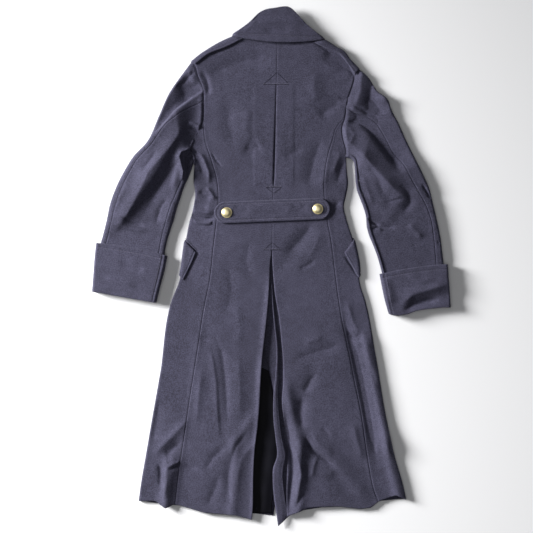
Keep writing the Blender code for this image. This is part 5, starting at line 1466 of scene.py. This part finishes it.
def button(name, way):
    """A domed button, turned from its profile, sitting on the belt's dented face."""
    x0, y0 = belt_place(BELT_LENGTH / 2 + way * (BELT_LENGTH / 2 - BELT_BUTTON_INSET), 0.0)
    z0 = float(face(np.array(x0), np.array(y0))) + BELT_RISE - 0.4
    profile = np.array(BUTTON_PROFILE)
    turn = np.linspace(0, 2 * math.pi, BUTTON_SIDES + 1)
    radius = profile[:, :1] * BUTTON_RADIUS
    points = np.stack([x0 + radius * np.cos(turn), y0 + radius * np.sin(turn),
                       z0 + profile[:, 1:] + 0 * turn], axis=-1)
    made = cloth(name, [points], gilt_brass, thick=0, turn=True)
    welded(made.data, BUTTON_SIDES)
    made.data.shade_smooth()
    return made


buttons = [button("half_belt_button_left", -1), button("half_belt_button_right", 1)]

# %% [markdown]
# ## Pocket flaps and the slit's lip
#
# The hip pockets lie on the sides. Each flap starts at its welt on the face, goes round the
# rolled side and ends underneath, so it is laid out on the unrolled cloth and then wrapped. The
# slit at the left waist is only on that side; its lower lip is a strip with the groove of a row
# of stitches.

# %% Flaps and lip
FLAPS = (              # name, corner in, y, along in, y, down in, y
    ("pocket_flap_left", 31, 35, -66, 60, -20, -66),
    ("pocket_flap_right", 31, 34, -82, 87, -27, -60),
)
FLAP_CLEAR = 0.8
FLAP_FOLD = 1.0
FLAP_STITCH = 5.5


def pocket_flap(row, side):
    """A flap, wrapped round the side. Its rear corner lies on the face."""
    name, corner_in, corner_y, along_in, along_y, down_in, down_y = row
    a = np.linspace(0, 1, 72)[None, :]
    b = np.linspace(0, 1, 46)[:, None]
    inward = corner_in + a * along_in + b * down_in
    y = corner_y + a * along_y + b * down_y
    points = side.wrapped(inward, y)
    length, depth = math.hypot(along_in, along_y), math.hypot(down_in, down_y)
    edge = np.minimum(np.minimum(a, 1 - a) * length, (1 - b) * depth)
    clear = (FLAP_CLEAR + FLAP_FOLD * np.exp(-(inward / SIDE_ROLL + 0.3) ** 2) + CLOTH
             - 1.2 * (1 - rounding(edge, 2.0))
             - 0.8 * bell(edge - FLAP_STITCH, 1.3) - 1.4 * bell(b * depth, 2.0))
    if side.sign > 0:
        points, clear = points[:, ::-1], clear[:, ::-1]
    outer = shifted(points[:, ::-1], clear[:, ::-1])
    outer[..., 2] = np.maximum(outer[..., 2], 0.2)
    return cloth(name, [outer], melton)


flaps = [pocket_flap(row, side) for row, side in zip(FLAPS, (left, right))]

SLIT_WELT = (          # x, y along the lower lip of the waist slit
    (-184, 116), (-179, 113), (-163, 109), (-151, 108), (-139, 110),
)
WELT_DEPTH = 9.0
WELT_STITCH = 6.5      # from the lip's edge to its groove


def slit_welt():
    """The lower lip of the slit: a thick rounded edge over the forepart, with a groove."""
    line = along(SLIT_WELT, np.linspace(0, 1, 40))
    drop = np.linspace(0, -WELT_DEPTH, 14)[:, None]
    x = line[None, :, 0] + 0 * drop
    y = line[None, :, 1] + drop
    points = left.wrapped(np.abs(x - x_at(left.outline, y)), y)
    share = np.linspace(0, 1, 40)
    fade = ease(share / 0.12) * ease((1 - share) / 0.12)
    out = GAP + (2.6 * rounding(-drop, 3.5) * ease((WELT_DEPTH + drop) / 4)
                 - 0.7 * bell(-drop - WELT_STITCH, 1.2)) * fade
    return cloth("slit_welt_left", [shifted(points, out)], melton, thick=1.5)


lip = slit_welt()

# %% [markdown]
# ## Inside the pleat and the vent
#
# The pleat has a third layer pressed flat beneath the two back edges. The vent runs up from the
# hem, and the right skirt continues under the left one as an underlap. That strip has lifted:
# its free edge stands up in the opening, and the dark lining of the left front shows beside it.
# Its satin is darker still, a painted shade of the deep opening.

# %% Underlay, underlap and lining
UNDERLAP = (           # y, free edge x, foot x, height of the free edge
    (-40, 1, 3.5, 11.0),
    (-101, 4, 8, 12.0),
    (-151, 9, 13, 12.5),
    (-197, 13, 18, 13.0),
    (-252, 11, 18, 13.5),
    (-307, 6, 16, 14.5),
    (-367, 6, 20, 15.5),
    (-412, 11, 26, 16.5),
    (-454, 14, 34, 17.0),
    (-482, 5, 29, 16.0),
    (-506, 4, 28, 15.0),
    (-552, 7, 33, 13.5),
    (-600, 14, 37, 11.5),
    (-622, 17, 33, 10.8),
)
UNDERLAP_FOOT = 6.4
UNDERLAP_TUCK = 22.0
LINING_Y = (-250.0, -592.0)
LINING_SIDE = -70.0
LINING_SLANT = 0.5     # its upper edge runs down to the right


def pleat_underlay():
    """The pleat's third layer, under the two back edges."""
    x0, x1, y0, y1 = PLEAT
    x = np.linspace(x0, x1, 30)[None, :]
    y = np.linspace(y1, y0, 70)[:, None]
    z = face(x + 0 * y, y + 0 * x) - CLOTH - GAP
    return cloth("pleat_underlay", [np.stack([x + 0 * y, y + 0 * x, z], -1)], melton, thick=2.0)


def vent_underlap():
    """Continuation of the right skirt under the vent. Across, it goes from its free edge,
    which stands up, down to a foot and on under the right skirt."""
    table = np.array(UNDERLAP, float)[::-1]
    y = np.linspace(table[-1, 0], table[0, 0], 190)
    free, foot, high = (hermite(table[:, 0], table[:, i], y) for i in (1, 2, 3))
    low = np.full(y.shape, UNDERLAP_FOOT)
    tuck = x_at(CENTRE_RIGHT, y) + UNDERLAP_TUCK
    stations = np.stack([free, free + (foot - free) * 0.5, foot, foot + 2.2, tuck], axis=1)
    heights = np.stack([high, high - 0.4, high - 2.0, low, low], axis=1)
    share = np.r_[0, 0.25, 0.6, np.linspace(1, 4, 22)]
    i = np.minimum(share.astype(int), 3)
    u = share - i
    x = stations[:, i] * (1 - u) + stations[:, i + 1] * u
    z = heights[:, i] * (1 - ease(u)) + heights[:, i + 1] * ease(u)
    z = z - 0.8 * (1 - rounding(x - x[:, :1], 2.0))
    rise = ease((-560.0 - y) / 60)[:, None]
    level = y[:, None] + rise * np.clip(x - free[:, None], 0, 45) * 0.9
    return cloth("vent_underlap", [np.stack([x, level, z], axis=-1)], melton, thick=2.0)


def lining_panel():
    """Lining of the left front, as far as the vent shows it, with shallow ripples."""
    y = np.linspace(*LINING_Y, 120)
    right_edge = np.minimum(x_at(FRONT_LEFT, y) - 3, x_at(FRONT_RIGHT, y) - 2)
    x = LINING_SIDE + (right_edge - LINING_SIDE)[:, None] * np.linspace(0, 1, 30)
    y = y[:, None] - LINING_SLANT * (x + 5) * ease((y[:, None] + 400) / 150)
    z = (CLOTH + GAP + LINING_PLY + 0.9 * np.sin(x / 8 + y / 60) * np.sin(y / 47 + 1)
         + 0.5 * np.sin(x / 5 - y / 33))
    return cloth("lining_left", [np.stack([x, y, z], axis=-1)], lining_satin,
                 thick=LINING_PLY)


underlay = pleat_underlay()
underlap = vent_underlap()
lining = lining_panel()

# %% [markdown]
# ## Topstitching
#
# Rows of stitches hold the folded edges flat. Each stitch is a small grain of thread, 2.6 mm
# long, in the groove that the cloth already has. On the back the cloth has no groove: there a
# near-black thread paints the shade of one, and a pale row above each triangle's base paints a
# highlight. A stitch has only 22 faces, because there are hundreds of them, and one mesh holds
# all the stitches of a row or a piece.

# %% One row of stitches
STITCH_LENGTH = 2.6
STITCH_STEP = 3.4
STITCH_RADIUS = 0.5
STITCH_UP = 0.25       # the thread's middle above the groove's floor
LINE_STEP = 2.0


def stitches(name, lines, finish, radius=STITCH_RADIUS):
    """Grains of thread along lines of points (x, y, z). A grain is four rings of six points,
    0.9 of the radius inside and 0.35 at the ends, and it is closed at both ends."""
    turn = np.linspace(0, 2 * math.pi, 7)[:-1]
    corners, quads, base = [], [], 0
    for line in lines:
        line = np.asarray(line, float)
        run = np.r_[0, np.cumsum(np.linalg.norm(np.diff(line, axis=0), axis=1))]
        count = max(int(run[-1] / STITCH_STEP), 1)
        middle = (np.arange(count) + 0.5) * run[-1] / count
        at = np.stack([np.interp(middle, run, line[:, k]) for k in range(3)], axis=1)
        ahead = np.stack([np.interp(middle + 1, run, line[:, k])
                          - np.interp(middle - 1, run, line[:, k]) for k in range(3)], axis=1)
        ahead /= np.linalg.norm(ahead, axis=1, keepdims=True)
        aside = np.cross(ahead, (0.0, 0.0, 1.0))
        aside /= np.linalg.norm(aside, axis=1, keepdims=True)
        lift = np.cross(aside, ahead)
        for place, size in ((-0.5, 0.35), (-0.25, 0.9), (0.25, 0.9), (0.5, 0.35)):
            centre = at + ahead * place * STITCH_LENGTH
            ring = (aside[:, None] * np.cos(turn)[None, :, None]
                    + lift[:, None] * np.sin(turn)[None, :, None]) * radius * size
            corners.append((centre[:, None] + ring).reshape(-1, 3))
        index = base + np.arange(4 * count * 6).reshape(4, count, 6)
        for first, second in zip(index, index[1:]):
            quads.append(np.stack([first, second, np.roll(second, -1, axis=1),
                                   np.roll(first, -1, axis=1)], -1).reshape(-1, 4))
        for ring, order in ((index[0], (0, 1, 2, 3)), (index[0], (0, 3, 4, 5)),
                            (index[3], (0, 3, 2, 1)), (index[3], (0, 5, 4, 3))):
            quads.append(ring[:, order])
        base += 4 * count * 6
    made = meshed(name, "", corners, quads, finish)
    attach(made, "root")
    print(name, base // 24, "stitches")
    return made


def line_of(*corners):
    """Points every 2 mm along straight lines between plan corners."""
    corners = np.array(corners, float)
    run = np.r_[0, np.cumsum(np.hypot(*np.diff(corners, axis=0).T))]
    at = np.linspace(0, run[-1], max(int(run[-1] / LINE_STEP), 2))
    return np.stack([np.interp(at, run, corners[:, 0]), np.interp(at, run, corners[:, 1])], 1)


# %% Stitches of the belt, the triangles and the cuffs
def belt_line():
    """The row of stitches all round the belt, 7 mm inside its edge."""
    radius = BELT_WIDTH / 2 - BELT_STITCH
    turn = np.linspace(-math.pi / 2, math.pi / 2, 24)
    centre = BELT_LENGTH - BELT_WIDTH / 2
    run = np.r_[centre + radius * np.cos(turn), BELT_LENGTH - centre - radius * np.cos(turn)]
    across = np.r_[radius * np.sin(turn), -radius * np.sin(turn)]
    run, across = np.r_[run, run[0]], np.r_[across, across[0]]
    fine = line_of(*zip(run, across))
    x, y = belt_place(fine[:, 0], fine[:, 1])
    return np.stack([x, y, belt_height(x, y, fine[:, 0], fine[:, 1]) + STITCH_UP], axis=1)


TRIANGLES = (          # corners of the three stitched triangles: base, tip, base
    ((-18.5, 437.5), (13.7, 466), (43.5, 437.5)),
    ((-12, 191.5), (6.5, 176.4), (25.9, 191.5)),
    ((-17.8, 41), (2.9, 58.8), (23.8, 41)),
)
WELT_SEAM = ((-206, 69), (-177, 40.5))       # above the left flap
BACK_ROW_RADIUS = 0.75
BASE_OVER = 1.9        # from a base's dark row, painted shade, to the pale row above it, a painted highlight


def surface_line(points):
    """Plan points laid 0.2 mm over the back's face."""
    return np.column_stack([points, draped(points[:, 0], points[:, 1]) + 0.2])


def cuff_lines(table, side):
    """The row below the cuff's top edge and the short seam beside its inner edge."""
    tube = cuff_tube(table)
    width = float(tube.width(np.array(0.5)))
    part = np.linspace(14 / width, 1 - 14 / width, 90)[None, :]
    share = np.full((1, 1), CUFF_EDGE / tube.length)
    above = np.ones(part.shape, bool)
    top = cuff_points(tube, side, share, part, above)[0]
    share = np.linspace(0.02, 0.97, 50)[:, None]
    part = np.full((1, 1), CUFF_SEAM_PART - 2.6 / width)
    seam = cuff_points(tube, side, share, part, np.ones((50, 1), bool))[:, 0]
    return [top + (0, 0, STITCH_UP), seam + (0, 0, STITCH_UP)]


belt_stitches = stitches("half_belt_stitches", [belt_line()], thread)
# Above each triangle's base a row of the pale thread, 1.9 mm up, is a painted highlight for the lit
# side of the base's fold; the triangles' sides, their bases and the welt seam are drawn in the
# near-black thread as painted shade.
highlight_base_lines = [surface_line(line_of(t[0], t[2]) + (0, BASE_OVER)) for t in TRIANGLES]
side_lines = [surface_line(line_of(*t)) for t in
              [corners + corners[:1] for corners in TRIANGLES] + [WELT_SEAM]]
back_stitches = [stitches("back_stitches", highlight_base_lines, thread, BACK_ROW_RADIUS),
                 stitches("triangle_sides", side_lines, sunk_thread, BACK_ROW_RADIUS)]
cuff_stitches = [stitches("cuff_stitches_" + side.name, cuff_lines(table, side), thread)
                 for table, side in ((CUFF_LEFT, left), (CUFF_RIGHT, right))]


def leaf_line():
    """The row along the collar leaf's edge."""
    part = np.linspace(0.05, 0.95, 120)[None, :]
    share = np.full((1, 1), LEAF_EDGE / LEAF_DEPTH)
    line = collar_points(share + 0 * part, part, np.ones(part.shape, bool), 0.0)[0]
    return line + (0, 0, -0.4)


collar_stitches = stitches("collar_stitches", [leaf_line()], thread)

# %% [markdown]
# ## Floor, light and camera
#
# The floor is plain and pale. The key light is a softbox that stands low at the wearer's left,
# 20 degrees up, so that the folds show. A weak one overhead fills the shadows. The camera looks
# straight down, as the photographer did.

# %% Floor
bpy.ops.mesh.primitive_plane_add(size=12.0)
floor = bpy.context.object
floor.name = "floor"
pale_floor, _, _, floor_shader = blank("pale_floor")
set_inputs(floor_shader, Base_Color=(0.86, 0.86, 0.87, 1), Roughness=0.9)
floor.data.materials.append(pale_floor)

# %% [markdown]
# ## What each piece stands for
#
# Every sheet takes the place of its imported solid, which then isn't shown. The coat lies flat on
# the floor, so each sheet is laid. Its flat size is the cut of what shows: all round for a
# sleeve, a cuff or a collar.

# %% Replace each solid and state its cut
def stands_for(made, slot, flat, share, rests_on, with_pieces=()):
    """Hide the solid and state the cut: width and length in millimetres, and the flat area as a
    share of their product. The slot is not used."""
    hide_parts(made.name.removesuffix(SEWN))
    shown = sum(face.area for face in made.data.polygons)
    print(made.name, "cut", round(flat[0] * flat[1] * share / 1e6, 4), "shows",
          round(shown, 4), "square metres")


CUTS = {               # width, length and share of their product, left then right
    "back": ((270, 1155, 0.59), (270, 1155, 0.59)),
    "front": ((530, 1130, 0.68), (470, 1130, 0.67)),
    "under": ((150, 540, 0.68), (150, 540, 0.69)),
    "top": ((250, 600, 0.72), (255, 605, 0.75)),
    "cuff": ((372, 118, 0.98), (330, 112, 0.98)),
    "strap": ((115, 56, 0.85), (110, 54, 0.86)),
    "flap": ((100, 69, 0.98), (121, 68, 0.97)),
}


def cut(kind, i):
    """The cut of a left (0) or right (1) piece as a size and a share."""
    width, length, share = CUTS[kind][i]
    return (width, length), share


for i in (0, 1):
    under, top = sleeves[i]
    stands_for(backs[i], "melton", *cut("back", i), [fronts[i]], back_stitches * (1 - i))
    stands_for(fronts[i], "melton", *cut("front", i), [floor])
    stands_for(under, "melton", *cut("under", i), [top])
    stands_for(top, "melton", *cut("top", i), [floor])
    stands_for(cuffs[i], "melton", *cut("cuff", i), [floor], [cuff_stitches[i]])
    stands_for(straps[i], "melton", *cut("strap", i), [fronts[i]])
    stands_for(flaps[i], "melton", *cut("flap", i), [fronts[i]])
stands_for(collar_fall, "melton", (470, 52), 0.94, [floor], [collar_stitches])
stands_for(collar_stand, "melton", (430, 32), 0.92, [collar_fall])
stands_for(belt, "melton", (278, 52), 0.97, backs, [belt_stitches])
stands_for(lip, "melton", (46, 11), 0.98, [fronts[0]])
stands_for(underlay, "melton", (96, 241), 0.99, [fronts[0]])
stands_for(underlap, "melton", (45, 582), 0.95, [fronts[1]])
stands_for(lining, "lining", (95, 342), 0.86, [fronts[0]])
for made in buttons:
    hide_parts(made.name.removesuffix(SEWN))
print("all", len(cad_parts), "solids are stood for")

# %% Lights
def softbox(name, place, size, power, aim, spread):
    """A square area light that faces a point. A grid in front of it narrows its beam to
    spread degrees."""
    lamp = bpy.data.lights.new(name, "AREA")
    lamp.shape = "SQUARE"
    lamp.size = size
    lamp.spread = math.radians(spread)
    lamp.energy = power
    made = bpy.data.objects.new(name, lamp)
    made.location = place
    way = mathutils.Vector(aim) - mathutils.Vector(place)
    made.rotation_euler = way.to_track_quat("-Z", "Y").to_euler()
    bpy.context.collection.objects.link(made)


softbox("key", (-3.2, 1.0, 1.38), 1.2, 122.0, (0.1, -0.85, 0.0), 95.0)
softbox("fill", (-0.3, -0.2, 3.4), 2.4, 18.0, (0.0, -0.3, 0.0), 180.0)
world = bpy.data.worlds.new("studio")
world.use_nodes = True
world.node_tree.nodes["Background"].inputs["Color"].default_value = (0.95, 0.97, 1.0, 1)
world.node_tree.nodes["Background"].inputs["Strength"].default_value = 0.095
bpy.context.scene.world = world
bpy.context.scene.view_settings.view_transform = "Standard"

# %% Camera
lens = bpy.data.cameras.new("camera")
lens.lens = 84.2
lens.sensor_width = 36.0
lens.clip_end = 20.0
camera = bpy.data.objects.new("camera", lens)
camera.location = (-0.0118, 0.0032, 3.0)
bpy.context.collection.objects.link(camera)
bpy.context.scene.camera = camera
print("camera", tuple(round(v, 4) for v in camera.location))
